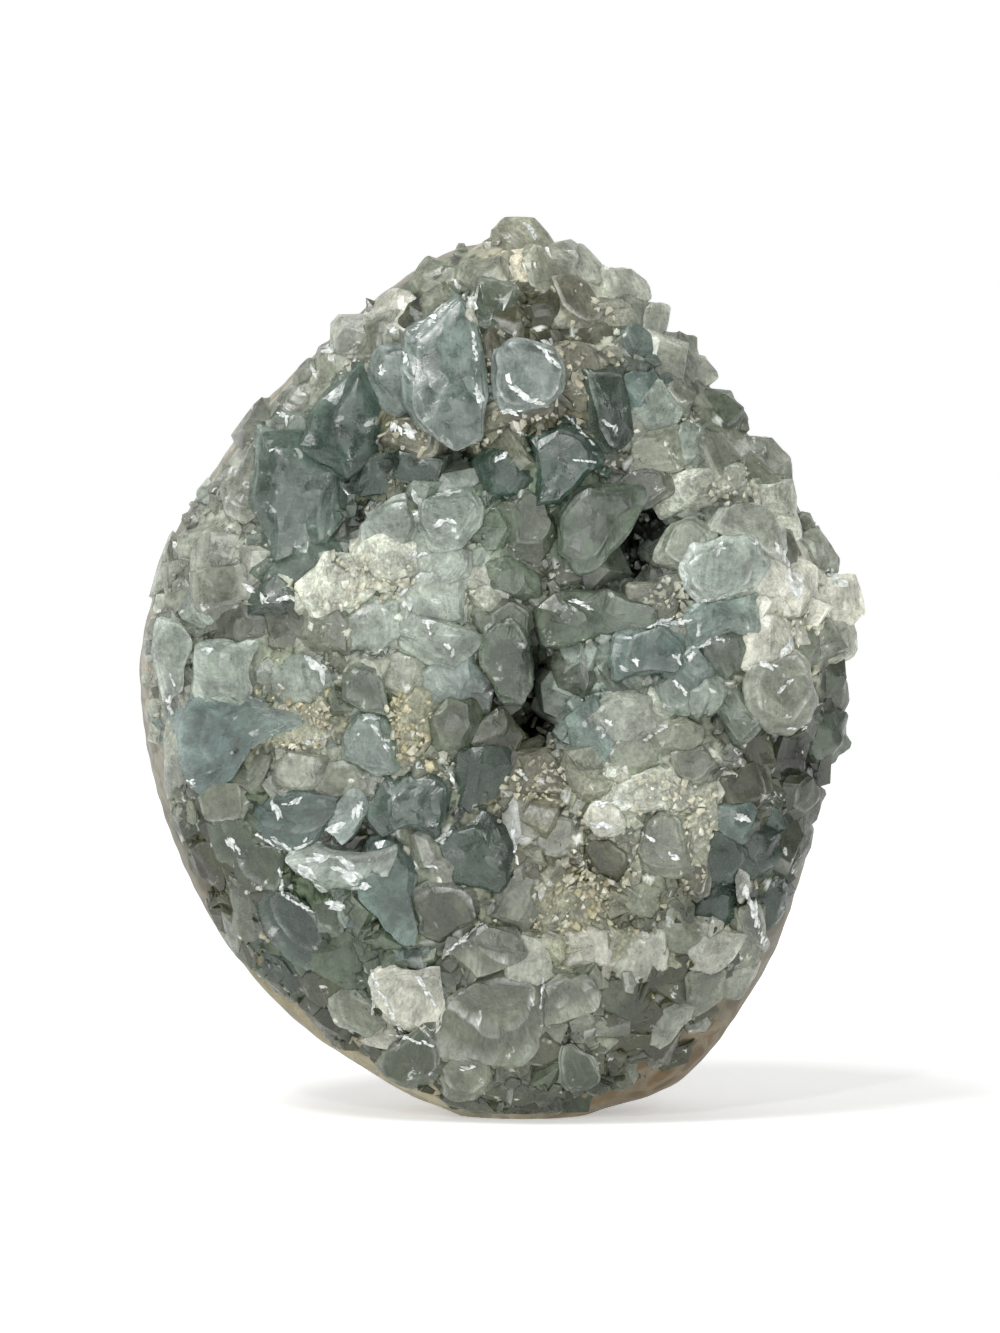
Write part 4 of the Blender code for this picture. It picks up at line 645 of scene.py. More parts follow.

# Painted glints: lines on the face along which white flakes stand for reflections: x, z, x, z, width
GLINT_LINES = (
    (-8.6, 78.6, -5.4, 81.2, 0.35), (18.0, 55.6, 18.4, 53.4, 0.35), (18.4, 53.4, 19.8, 52.1, 0.4),
    (19.8, 52.1, 22.2, 52.5, 0.35), (28.4, 39.4, 30.2, 39.4, 0.35), (-23.8, 29.0, -21.6, 27.6, 0.35),
    (-21.6, 25.4, -21.4, 23.2, 0.4), (-21.3, 23.0, -18.2, 21.3, 0.4), (-5.2, 35.8, -4.4, 34.0, 0.35),
    (-5.2, 17.6, -1.4, 20.8, 0.35), (-12.6, 15.6, -12.6, 11.0, 0.35), (-11.0, 9.0, -6.4, 8.0, 0.4),
    (4.2, 15.0, 4.0, 11.8, 0.3), (14.2, 49.4, 17.2, 50.6, 0.5), (9.0, 51.2, 7.2, 52.2, 0.35),
    (-3.6, 82.4, -2.6, 80.6, 1.3), (-6.8, 80.0, -6.4, 79.6, 0.6), (-2.6, 78.2, -2.4, 75.6, 0.5),
    (-2.2, 73.0, -2.0, 71.6, 0.7), (-9.6, 76.6, -9.0, 75.2, 0.8), (-11.8, 75.0, -11.2, 74.4, 0.6),
    (-10.8, 78.4, -10.2, 78.6, 0.5), (-17.2, 77.4, -16.6, 75.8, 0.9), (-18.8, 74.8, -18.0, 73.8, 0.6),
    (-21.8, 70.4, -20.6, 69.8, 0.9), (4.0, 77.0, 5.8, 75.0, 0.9), (0.5, 74.6, 1.2, 73.0, 0.6),
    (1.2, 73.0, 2.6, 71.9, 0.9), (2.6, 71.9, 4.0, 71.6, 0.7), (0.2, 70.6, 2.2, 70.7, 0.5),
    (-10.9, 70.4, -10.2, 68.6, 0.6), (-9.6, 69.0, -8.2, 68.6, 1.0), (-6.2, 62.5, -3.6, 62.9, 0.5),
    (-8.4, 62.0, -7.4, 61.4, 1.1), (-8.2, 60.8, -7.8, 59.8, 0.4), (-6.0, 59.8, -4.6, 60.2, 0.7),
    (-9.0, 56.4, -7.4, 56.8, 0.6), (1.7, 68.6, 2.5, 68.4, 0.5), (-0.6, 65.8, 0.6, 66.6, 0.5),
    (7.2, 65.9, 9.4, 65.7, 0.3), (6.6, 70.2, 9.2, 67.4, 0.3), (9.7, 69.9, 11.4, 68.9, 0.4),
    (-9.8, 53.6, -9.2, 51.8, 1.1), (-7.4, 50.2, -6.4, 49.8, 0.5), (-25.0, 53.6, -24.0, 52.8, 0.9),
    (-23.4, 52.4, -22.8, 52.0, 0.6), (-21.8, 52.3, -20.8, 52.4, 0.8), (-29.2, 47.2, -28.2, 47.2, 0.6),
    (-12.4, 47.0, -11.2, 47.4, 0.6), (-7.2, 50.0, -6.8, 48.9, 0.4), (-5.2, 47.8, -4.5, 46.9, 0.6),
    (-18.6, 46.2, -17.4, 45.4, 1.4), (-32.9, 42.0, -32.3, 40.6, 0.5), (-32.5, 44.4, -32.1, 43.6, 0.4),
    (-30.9, 34.2, -30.2, 33.8, 0.6), (-19.0, 38.3, -18.4, 38.1, 0.6), (-13.6, 41.0, -12.0, 40.6, 0.9),
    (-12.4, 40.0, -10.9, 37.4, 0.5), (-22.4, 32.4, -21.6, 30.8, 0.7), (-21.0, 32.0, -19.6, 32.6, 0.5),
    (-17.2, 29.4, -15.2, 30.4, 1.2), (-14.6, 31.0, -13.8, 32.2, 0.8), (-5.8, 28.4, -5.0, 29.6, 0.7),
    (-26.6, 28.2, -25.6, 27.2, 0.8), (-19.6, 25.4, -17.2, 23.4, 1.6), (-20.5, 24.0, -18.5, 22.8, 1.2),
    (-16.5, 25.8, -14.2, 24.6, 1.3), (-18.8, 26.8, -16.4, 26.9, 0.8), (-17.8, 22.4, -15.6, 22.0, 1.0),
    (-15.2, 26.6, -13.6, 25.0, 0.9), (-14.6, 23.8, -13.0, 24.2, 0.8), (-7.0, 26.2, -6.2, 26.0, 0.5),
    (-6.0, 36.6, -5.2, 36.2, 0.5), (-8.2, 36.0, -7.6, 35.8, 0.4), (-22.4, 28.8, -20.4, 27.4, 0.5),
    (-20.4, 27.4, -18.6, 28.6, 0.5), (7.0, 52.2, 8.8, 51.6, 0.5), (15.8, 49.8, 18.8, 50.2, 0.7),
    (19.2, 47.2, 20.4, 48.2, 0.6), (18.4, 46.4, 19.2, 47.0, 0.5), (13.2, 46.5, 13.6, 45.7, 0.5),
    (11.9, 45.6, 12.4, 45.4, 0.5), (17.2, 46.8, 17.8, 45.8, 0.4), (21.0, 48.8, 22.0, 48.0, 0.4),
    (20.8, 57.0, 21.6, 57.6, 0.7), (25.0, 57.6, 25.4, 58.0, 0.4), (27.6, 43.2, 28.6, 44.2, 0.6),
    (27.0, 58.0, 28.4, 55.4, 0.8), (28.6, 54.6, 30.4, 51.8, 1.2), (32.4, 54.6, 33.8, 53.4, 1.0),
    (27.6, 47.0, 28.8, 48.0, 1.0), (25.6, 46.0, 27.0, 45.6, 0.8), (10.2, 40.4, 10.8, 40.2, 0.5),
    (17.0, 44.2, 18.4, 43.0, 0.4), (14.2, 38.4, 16.4, 39.8, 0.4), (23.3, 31.2, 24.3, 30.4, 1.0),
    (24.0, 24.0, 25.2, 20.6, 0.9), (25.2, 20.6, 26.2, 17.6, 0.7), (9.4, 32.2, 11.6, 32.4, 0.6),
    (9.2, 30.2, 11.4, 30.0, 0.6), (14.0, 29.4, 15.0, 28.6, 0.5), (16.6, 27.4, 17.4, 26.8, 0.5),
    (1.2, 30.4, 1.6, 26.2, 0.4), (2.8, 88.8, 3.6, 87.4, 0.6), (-12.4, 14.8, -9.8, 9.4, 0.5),
    (-8.2, 15.2, -6.2, 12.0, 0.4), (-3.8, 5.6, -2.0, 6.0, 0.5), (1.8, 35.6, 2.6, 34.6, 0.4),
)

# Patches of the face where small crystals and grains have one tone: x, z, half width, half height, tone,
# share of it that is sugary grains
PATCHES = (
    (-17.5, 76.5, 3.5, 4.0, "pale", 0.3),
    (-4.5, 85.2, 5.0, 2.0, "sage", 0.1),
    (1.0, 86.7, 3.0, 3.5, "beige", 0.2),
    (12.0, 81.5, 4.5, 4.5, "cream", 0.3),
    (4.5, 80.4, 4.0, 3.0, "olive", 0.1),
    (-4.0, 68.5, 7.0, 2.4, "brown", 0.5),
    (8.5, 73.5, 3.0, 4.0, "brown", 0.7),
    (-11.6, 53.8, 8.5, 3.2, "cream", 0.4),
    (-8.8, 40.1, 3.2, 4.6, "golden", 1.0),
    (-19.4, 40.8, 4.2, 2.6, "golden", 1.0),
    (8.2, 21.6, 4.8, 4.6, "golden", 1.0),
    (4.4, 27.5, 5.0, 9.5, "brown", 0.7),
    (16.5, 32.0, 6.0, 4.5, "cream", 0.5),
    (29.4, 53.2, 3.5, 4.2, "white", 0.9),
    (27.0, 47.9, 3.5, 4.0, "cream", 0.9),
    (22.3, 56.5, 7.0, 5.5, "ice", 0.1),
    (25.0, 64.5, 6.0, 5.5, "sage", 0.3),
    # Patches of painted shade: near black over the deep hollows
    (29.0, 34.8, 4.4, 5.0, "hollow_shade", 0.2),
    (26.6, 27.3, 7.0, 8.0, "grey_dark", 0.2),
    (3.6, 46.6, 2.2, 6.0, "hollow_shade", 0.3),
    (2.6, 40.4, 3.4, 2.6, "hollow_shade", 0.3),
    (14.3, 57.7, 3.4, 6.0, "hollow_shade", 0.5),
    (-4.6, 65.5, 2.0, 1.8, "hollow_shade", 0.3),
    (-15.5, 58.6, 2.0, 1.8, "hollow_shade", 0.2),
    (-13.3, 27.9, 2.2, 1.2, "hollow_shade", 0.1),
    (-28.0, 24.0, 4.5, 6.0, "olive", 0.1),
    (-8.8, 6.0, 5.0, 4.0, "olive", 0.1),
    (6.9, 12.6, 4.0, 4.0, "sage", 0.1),
    (15.5, 13.5, 6.0, 5.0, "olive", 0.2),
    (9.5, 41.5, 3.5, 6.0, "teal_pale", 0.3),
    (-28.5, 49.8, 4.5, 2.5, "grey", 0.1),
    (-20.0, 45.5, 5.0, 3.6, "sage", 0.2),
    (-13.5, 48.5, 4.0, 3.0, "pale", 0.2),
    (-27.0, 31.0, 4.0, 3.0, "slate_grey", 0.1),
    (-33.5, 41.5, 2.2, 12.0, "pale", 0.2),
    (-27.5, 61.0, 5.0, 8.0, "pale", 0.1),
    (0.0, 62.0, 5.0, 4.0, "grey_green", 0.2),
    (18.0, 70.0, 5.0, 5.0, "grey", 0.4),
    (-14.0, 36.0, 6.0, 4.0, "pale", 0.3),
    (-16.0, 18.0, 8.0, 6.0, "slate_grey", 0.1),
    (-8.0, 24.0, 6.0, 5.0, "grey", 0.2),
    (1.0, 12.0, 6.0, 5.0, "sage", 0.1),
)
BROAD_DIP, PITS = HOLLOWS[:1], HOLLOWS[1:]
EXACT_FORMS = NAMED_FORMS + tuple(row[0] for row in MEASURED)


def linear(hex_colour):
    """Linear light values of an sRGB hex colour."""
    values = [int(hex_colour[start:start + 2], 16) / 255 for start in (1, 3, 5)]
    return [value / 12.92 if value <= 0.04045 else ((value + 0.055) / 1.055) ** 2.4 for value in values]


def opaque(hex_colour):
    """The same with full cover, as colour sockets take it."""
    return (*linear(hex_colour), 1)


def measured_crystal(name, lean_right, lean_up, proud, tone, outline):
    """A row like those of CRYSTALS for a measured outline, which joins the outlines in a unit square."""
    corners = np.array(outline)
    low, high = corners.min(axis=0), corners.max(axis=0)
    HEAD_OUTLINES[name] = (corners - (low + high) / 2) / (high - low)
    CROWNS[name] = MEASURED_CROWN
    return (name, *((low + high) / 2), *(high - low), 0, lean_right, lean_up, proud, tone)


def polar(x, z):
    """Angle about the face's middle, anticlockwise from the right, and distance from it."""
    return np.arctan2(z - MIDDLE_Z, x - MIDDLE_X), np.hypot(x - MIDDLE_X, z - MIDDLE_Z)


def closed_curve(points, steps):
    """Points of the smooth closed curve (Catmull-Rom) through the given ones, steps to each stretch."""
    knots = np.array(points, float)
    before, after, last = (np.roll(knots, k, axis=0) for k in (1, -1, -2))
    t = (np.arange(steps) / steps)[None, :, None]
    a, b, c, d = (k[:, None, :] for k in (before, knots, after, last))
    bend = 2 * a - 5 * b + 4 * c - d
    twist = 3 * b - a - 3 * c + d
    curve = 0.5 * (2 * b + (c - a) * t + bend * t**2 + twist * t**3)
    return curve.reshape(-1, 2)


def polar_outline(points):
    """The outline as two arrays, angle and radius about the middle, in order of angle."""
    curve = closed_curve(points, SMOOTH_STEPS)
    angle, radius = polar(curve[:, 0], curve[:, 1])
    order = np.argsort(angle)
    return angle[order], radius[order]


# Worked out once from the tables
ALL_CRYSTALS = CRYSTALS + tuple(measured_crystal(*row) for row in MEASURED)
OUTLINE_ANGLE, OUTLINE_RADIUS = polar_outline(STONE_OUTLINE)
TONE_NAMES = list(TONES)
TONE_COLOURS = np.array([linear(TONES[name][0]) for name in TONE_NAMES])
PLAIN_TONE = TONE_NAMES.index("grey_dark")
PLAIN_WEIGHT = 0.12
PATCH_PLACES = np.array([row[:4] for row in PATCHES])
PATCH_TONES = np.array([TONE_NAMES.index(row[4]) for row in PATCHES] + [PLAIN_TONE])
PATCH_SUGAR = np.array([row[5] for row in PATCHES])
EDGE_COLOUR = np.array(linear(EDGE_HEX))
SUGAR_COLOURS = np.array([linear(colour) for colour in SUGAR_HEXES])


# Shapes of the stone and of the bed

def by_angle(angle, table):
    """A table's values at these angles, straight from row to row."""
    degrees, values = zip(*table)
    return np.interp(np.degrees(angle), degrees, values, period=360.0)


def stone_radius(angle):
    """Distance from the middle to the ground stone's outline at these angles."""
    return np.interp(angle, OUTLINE_ANGLE, OUTLINE_RADIUS, period=2 * math.pi)


def bed_edge(angle):
    """Distance from the middle to the crystal bed's own outline at these angles."""
    bare = RIM_SHOWN * by_angle(angle, BARE_RIM)
    return stone_radius(angle) - bare + BED_OVERHANG * by_angle(angle, OVERHANG)


def hollow_depth(x, z, rows=HOLLOWS):
    """Depth of the face's hollows at these places: bell-shaped dips added together."""
    depth = 0.0
    for hollow_x, hollow_z, half_width, half_height, deep in rows:
        square = ((x - hollow_x) / half_width) ** 2 + ((z - hollow_z) / half_height) ** 2
        depth = depth + deep * np.exp(-square)
    return depth


def face_y(x, z, lift=0.0, rows=HOLLOWS, edge=stone_radius):
    """Y of the stone's face at these places, brought forward by lift: a superellipse dome less hollows."""
    angle, away = polar(x, z)
    share = away / edge(angle)
    bulge = (1 - np.clip(share, 0.0, LAST_OF_FACE) ** BODY_SQUARENESS) ** (1 / BODY_SQUARENESS)
    return WIDEST_Y - (DOME_DEPTH + lift) * bulge + hollow_depth(x, z, rows) * bulge


def pulled_in(x, z, limit):
    """Places further from the middle than their limit, brought straight in to it."""
    inward = np.minimum(1.0, limit / np.maximum(polar(x, z)[1], TINY))
    return MIDDLE_X + (x - MIDDLE_X) * inward, MIDDLE_Z + (z - MIDDLE_Z) * inward


def slope_y(x, z):
    """Y of the slope that crystals lean by: the face brought forward, going straight back near the rim."""
    angle, away = polar(x, z)
    edge = RIM_SHARE * stone_radius(angle)
    inner_x, inner_z = pulled_in(x, z, edge)
    return face_y(inner_x, inner_z, BED_DEPTH, BROAD_DIP) + np.maximum(0.0, away - edge) * RIM_SLOPE


def waves(x, y, z, size, seed, count=8):
    """Smooth uneven heights, mostly from -1 to 1: added sine waves about this long, running random ways."""
    chance = np.random.default_rng(seed)
    way = chance.normal(size=(count, 3))
    length = np.linalg.norm(way, axis=1)[:, None]
    way *= chance.uniform(*WAVE_SPREAD, (count, 1)) * 2 * math.pi / size / length
    start = chance.uniform(0, 2 * math.pi, count)
    total = 0.0
    for (a, b, c), shift in zip(way, start):
        total = total + np.sin(a * x + b * y + c * z + shift)
    return total / math.sqrt(2 * count)


def cell_facets(x, z, size, seed):
    """Height of packed crystal facets: each place takes the tilted plane of the nearest scattered point.

    Returns the height, a random value from 0 to 1 for each cell, and how near the place is to a joint (1
    at it).
    """
    table = np.random.default_rng(seed).uniform(0, 1, (CELL_TABLE, CELL_TABLE, 5))
    column, row = np.floor(x / size).astype(int), np.floor(z / size).astype(int)
    nearest = np.full(x.shape, np.inf)
    second = np.full(x.shape, np.inf)
    height = np.zeros(x.shape)
    value = np.zeros(x.shape)
    for step_x in (-1, 0, 1):
        for step_z in (-1, 0, 1):
            cell = table[(column + step_x) % CELL_TABLE, (row + step_z) % CELL_TABLE]
            right = x / size - (column + step_x) - CELL_INSET - CELL_ROAM * cell[..., 0]
            up = z / size - (row + step_z) - CELL_INSET - CELL_ROAM * cell[..., 1]
            away = np.hypot(right, up)
            slope = right * (2 * cell[..., 2] - 1) + up * (2 * cell[..., 3] - 1)
            plane = FACET_TILT * slope + cell[..., 4] - 0.5
            closer = away < nearest
            second = np.where(closer, nearest, np.minimum(second, away))
            height = np.where(closer, plane, height)
            value = np.where(closer, cell[..., 4], value)
            nearest = np.where(closer, away, nearest)
    return height, value, np.clip(1 - (second - nearest) / JOINT_WIDTH, 0, 1)


# Tones of the patches

def patch_weights(x, z):
    """How strongly each patch counts at these places: a bell for each, then the plain tone's weight."""
    right = (x[..., None] - PATCH_PLACES[:, 0]) / PATCH_PLACES[:, 2]
    up = (z[..., None] - PATCH_PLACES[:, 1]) / PATCH_PLACES[:, 3]
    bells = np.exp(-(right**2 + up**2))
    return np.concatenate((bells, np.full(x.shape + (1,), PLAIN_WEIGHT)), axis=-1)


def mixed_tones(weights):
    """The patches' tones mixed by weight."""
    return (weights @ TONE_COLOURS[PATCH_TONES]) / weights.sum(axis=-1, keepdims=True)


def patch_sugar(x, z):
    """Share of sugary grains at these places."""
    weights = patch_weights(x, z)
    return (weights[..., :-1] @ PATCH_SUGAR) / weights.sum(axis=-1)


def patch_draw(x, z, chance):
    """A tone for each place, drawn at random by the patches' weights."""
    weights = patch_weights(x, z)
    steps = np.cumsum(weights, axis=-1) / weights.sum(axis=-1, keepdims=True)
    picked = (chance.uniform(0, 1, x.shape)[..., None] > steps).sum(axis=-1)
    return PATCH_TONES[picked]


def blended(colour, places, share):
    """Each crystal's tone mixed with its patch's at each point, leaving out the painted hollow shade."""
    weights = patch_weights(places[..., 0], places[..., 2]) * (PATCH_TONES != TONE_NAMES.index("hollow_shade"))
    return colour[:, None, :] * (1 - share) + mixed_tones(weights) * share


# Meshes and nodes

def new_piece(name, points, faces, smooth, replaced, material):
    """A mesh piece from points in millimetres and arrays of faces; it rides on the root body."""
    mesh = bpy.data.meshes.new(name)
    sides = np.concatenate([np.full(len(group), group.shape[1]) for group in faces])
    corners = np.concatenate([group.ravel() for group in faces])
    mesh.vertices.add(len(points))
    mesh.vertices.foreach_set("co", (points * MM).ravel())
    mesh.loops.add(len(corners))
    mesh.loops.foreach_set("vertex_index", corners)
    mesh.polygons.add(len(sides))
    mesh.polygons.foreach_set("loop_start", np.cumsum(sides) - sides)
    mesh.polygons.foreach_set("use_smooth", np.zeros(len(sides), bool) | smooth)
    mesh.update(calc_edges=True)
    mesh.validate()
    mesh.materials.append(material)
    piece = bpy.data.objects.new(name, mesh)
    bpy.context.scene.collection.objects.link(piece)
    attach(piece, "root")
    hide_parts(replaced)
    return piece


def give_points(piece, name, values):
    """Stores a colour for each point of the mesh as its tone, or a place under another name."""
    if name == "tone":
        attribute = piece.data.attributes.new(name, "FLOAT_COLOR", "POINT")
        field, values = "color", np.concatenate((values, np.ones((len(values), 1))), axis=1)
    else:
        attribute = piece.data.attributes.new(name, "FLOAT_VECTOR", "POINT")
        field = "vector"
    attribute.data.foreach_set(field, np.ascontiguousarray(values, dtype=np.float32).ravel())


def grid_faces(rows, columns, closed):
    """Quads between neighbouring rows of points; closed joins each row's end to its start."""
    across = columns if closed else columns - 1
    row, column = np.meshgrid(np.arange(rows - 1), np.arange(across), indexing="ij")
    after = (column + 1) % columns
    low, high = row * columns, (row + 1) * columns
    return np.stack((low + column, low + after, high + after, high + column), axis=-1).reshape(-1, 4)


def end_fans(levels, around):
    """Triangles that close a stack of rings at both ends, round the two points that follow the rings."""
    column = np.arange(around)
    after = (column + 1) % around
    last = (levels - 1) * around
    first_fan = np.stack((after, column, np.full(around, levels * around)), axis=1)
    last_fan = np.stack((last + column, last + after, np.full(around, levels * around + 1)), axis=1)
    return first_fan, last_fan


def repeated(faces, count, points_each):
    """The same faces for each of several bodies whose points follow one another."""
    return (faces[None] + np.arange(count)[:, None, None] * points_each).reshape(-1, faces.shape[1])


def solid(flat, height):
    """Points in space from points in the plane and their heights."""
    return np.concatenate((flat, height[..., None]), axis=2)


def on_axes(own, across, up, out):
    """Each body's own places turned to its three axes."""
    return np.einsum("nki,nij->nkj", own, np.stack((across, up, out), axis=1))


def set_node(tree, node, settings, links):
    """Gives a node its properties and socket values, and links sockets to its inputs."""
    for name, value in settings.items():
        if isinstance(name, str) and hasattr(node, name):
            setattr(node, name, value)
        else:
            node.inputs[name].default_value = value
    for name, source in links.items():
        tree.links.new(source, node.inputs[name])


def add_node(tree, kind, settings, links):
    """Adds a node with its settings and links, and gives back its outputs."""
    node = tree.nodes.new("ShaderNode" + kind)
    set_node(tree, node, settings, links)
    return node.outputs


# Crystals

def unit(vectors):
    """Vectors of length one."""
    return vectors / np.linalg.norm(vectors, axis=-1, keepdims=True)


def turned(vectors, about, degrees):
    """Vectors turned about unit axes by angles (Rodrigues' formula)."""
    angle = np.radians(degrees)[:, None]
    along = (vectors * about).sum(axis=1, keepdims=True)
    across = vectors * np.cos(angle) + np.cross(about, vectors) * np.sin(angle)
    return across + about * along * (1 - np.cos(angle))


def crystal_axes(x, z, lean_right, lean_up, turn):
    """Axes of each head: across, up and out. Out is partly turned to the face's own slope, then leaned.

    The slope is the slope surface's rise over one millimetre.
    """
    slope_x = slope_y(x + 0.5, z) - slope_y(x - 0.5, z)
    slope_z = slope_y(x, z + 0.5) - slope_y(x, z - 0.5)
    slope = np.clip(np.stack((slope_x, slope_z)), -STEEPEST, STEEPEST) * SLOPE_FOLLOWED
    out = unit(np.stack((slope[0], -np.ones(len(x)), slope[1]), axis=1))
    right = np.tile((1.0, 0.0, 0.0), (len(x), 1))
    above = np.tile((0.0, 0.0, 1.0), (len(x), 1))
    out = turned(turned(out, right, -lean_up), above, lean_right)
    up = unit(above - out * out[:, 2:])
    up = turned(up, out, -turn)
    return np.cross(up, out), up, out


def facing_front(out):
    """Axes that slope as out asks but whose sides run straight back, so the front outline stays."""
    none, one = 0 * out[:, 0], 1 + 0 * out[:, 0]
    across = np.stack((one, -out[:, 0] / out[:, 1], none), axis=1)
    up = np.stack((none, -out[:, 2] / out[:, 1], one), axis=1)
    return across, up, np.stack((none, -one, none), axis=1)


def cut_corners(corners, cut):
    """Each corner of each outline becomes two points, this far from it along its two edges."""
    before = np.roll(corners, 1, axis=1) - corners
    after = np.roll(corners, -1, axis=1) - corners
    first = corners + unit(before) * cut
    second = corners + unit(after) * cut
    return np.stack((first, second), axis=2).reshape(len(corners), -1, 2)


def ground_back(points):
    """Points outside the ground surface are brought in to it, as if the crystals there were ground flush.

    The surface is a superellipse from the outline at the widest plane to nothing at its reach in front.
    """
    x, y, z = points[..., 0], points[..., 1], points[..., 2]
    angle = polar(x, z)[0]
    ground = by_angle(angle, GROUND_SHARE)
    reach = CRYSTAL_REACH + (GROUND_REACH - CRYSTAL_REACH) * ground
    square = REACH_SQUARENESS + (GROUND_SQUARENESS - REACH_SQUARENESS) * ground
    ahead = np.clip((WIDEST_Y - y) / reach, 0.0, LAST_OF_REACH)
    share = (1 - ahead**square) ** (1 / square)
    inner_x, inner_z = pulled_in(x, z, (stone_radius(angle) + by_angle(angle, OVERHANG)) * share)
    return np.stack((inner_x, y, np.maximum(inner_z, FOOT_CLEARANCE)), axis=-1)


def divided(outlines, parts):
    """Each long side of the outlines is divided in this many parts; the short cut-off sides stay whole."""
    first, start = outlines[:, 0::2, None], outlines[:, 1::2, None]
    way = np.roll(first, -1, axis=1) - start
    steps = np.arange(parts)[:, None] / parts
    return np.concatenate((first, start + way * steps), axis=2).reshape(len(outlines), -1, 2)


def warped(points):
    """Every place is moved a little by smooth waves, so that no outline runs dead straight."""
    x, y, z = points[..., 0], points[..., 1], points[..., 2]
    (large_length, large_start), (small_length, small_start) = WARP_WAVES
    moves = [
        large * waves(x, y, z, large_length, large_start + axis)
        + small * waves(x, y, z, small_length, small_start + axis)
        for axis, (large, small) in enumerate(WARPS)
    ]
    return points + np.stack(moves, axis=-1)


def crown_keep(form, count, chance):
    """Width and height left at each crown's top. Plain forms are flat, ridged like a roof, or pointed."""
    keep = np.tile(CROWNS[form][:2], (count, 1)) * chance.uniform(*KEEP_RANGE, (count, 2))
    kind = chance.uniform(0, 1, count)[:, None]
    ridge = np.stack((chance.uniform(*POINT_RANGE, count), chance.uniform(*RIDGE_RANGE, count)), axis=1)
    point = chance.uniform(*POINT_RANGE, (count, 2))
    if form in EXACT_FORMS:
        return keep
    return np.where(kind < FLAT_CROWNS, keep, np.where(kind < FLAT_OR_RIDGED, ridge, point))


def head_rings(corners, keep, cut, shift, slant, girdle, root, parts):
    """Rings of a crystal's points, from the root up, and the middle point of its top.

    Grains go straight from the root to the girdle. Small crystals have a girdle, a crown and a top with a
    bevelled edge. Main ones also have every corner cut, and their sides and top divided in parts.
    """
    thick = cut[:, :, 0]
    outline, crown = corners, corners * keep
    if parts == MAIN:
        outline = divided(cut_corners(corners, cut), parts)
        narrow = np.minimum(1, keep.min(axis=2, keepdims=True) * 2)
        crown = divided(cut_corners(crown, cut * CROWN_CUT * narrow), parts)
    crown = crown + shift
    flat = 0 * outline[..., 0]
    top = (crown * slant).sum(axis=2)
    middle = solid(shift, (shift * slant).sum(axis=2) + MIDDLE_RISE * thick)
    inner = shift + (crown - shift) * INNER_SHARE
    inner = solid(inner, (inner * slant).sum(axis=2) + INNER_RISE * thick)
    lowest = solid(outline * ROOT_SCALE[parts], root + flat)
    if parts == GRAIN:
        return [lowest, solid(outline, girdle + flat)], middle
    if parts == SMALL:
        return [lowest, solid(outline, girdle + flat), solid(crown, top - thick), inner], middle
    near = np.minimum(RIM_MOST, thick / np.linalg.norm(outline - crown, axis=2))
    below = solid(outline, girdle - thick + flat)
    above = outline * (1 - GIRDLE_IN * cut / np.linalg.norm(outline, axis=2, keepdims=True))
    above = solid(above, girdle + GIRDLE_UP * thick + flat)
    rim = solid(crown + (outline - crown) * near[..., None], top + (girdle - top) * near)
    facet = [above + (rim - above) * step for step in FACET_STEPS]
    cap = [inner + (middle - inner) * step / parts for step in range(parts)]
    return [lowest, below] + facet + [rim] + cap, middle


def chipped(own, wide, tall, chips, reaches, chance):
    """Flat chips off the crowns: points beyond each random slanting plane are pressed straight on to it."""
    count = len(own)
    for _ in range(chips):
        around = chance.uniform(0, 2 * math.pi, count)
        tip = np.radians(chance.uniform(*CHIP_TIP, count))
        normal = np.stack((np.cos(around) * np.sin(tip), np.sin(around) * np.sin(tip), np.cos(tip)), axis=1)
        reach = np.abs(normal[:, 0]) * wide / 2 + np.abs(normal[:, 1]) * tall / 2
        far = reach * chance.uniform(*reaches, count)
        beyond = np.einsum("nki,ni->nk", own, normal) - far[:, None]
        own = own - np.maximum(0, beyond)[..., None] * normal[:, None, :]
    return own


def head_colours(colour, points, keep, chance, parts):
    """Colour of each point: its crystal's tone, mixed with its patch's, with painted light near the root.

    The painted light lifts the shade in the crevices between crystals. A main crystal's sides differ a
    little, and the edges of flat tops get painted highlights in places.
    """
    count, sides = keep.shape[:2]
    levels = len(RING_PAINTED_LIGHT[parts])
    around = (points.shape[1] - 2) // levels
    side_of = np.arange(around) * sides // around
    side_shade = chance.uniform(*SIDE_SHADES, (count, 1, sides))[:, :, side_of]
    if parts != MAIN:
        side_shade = np.ones((count, 1, around))
    # Painted light: each ring's colour is scaled, lighter low down, to lift the shade between crystals
    shade = np.array(RING_PAINTED_LIGHT[parts])[:, None] * side_shade
    # Painted highlights: some edges of flat tops are mixed towards a pale colour
    edge = chance.uniform(*EDGE_BY_CRYSTAL, (count, 1, 1))
    edge = edge * chance.uniform(*EDGE_BY_POINT, (count, levels, around))
    edge = edge * chance.uniform(*EDGE_BY_SIDE, (count, 1, sides)).clip(0, 1)[:, :, side_of]
    flat_top = np.clip((keep.min(axis=(1, 2)) - DULL_BELOW) / DULL_FADE, 0, 1)[:, None, None]
    light = edge * EDGE_LIGHT * flat_top * np.array(EDGE_LEVELS[parts])[:, None]
    ends = np.ones((count, 2))
    shade = np.concatenate((shade.reshape(count, -1), ends), axis=1)
    light = np.concatenate((light.reshape(count, -1), 0 * ends), axis=1)
    colours = blended(colour, points, PATCH_MIX[parts]) * shade[..., None]
    return colours + (EDGE_COLOUR - colours) * light[..., None]


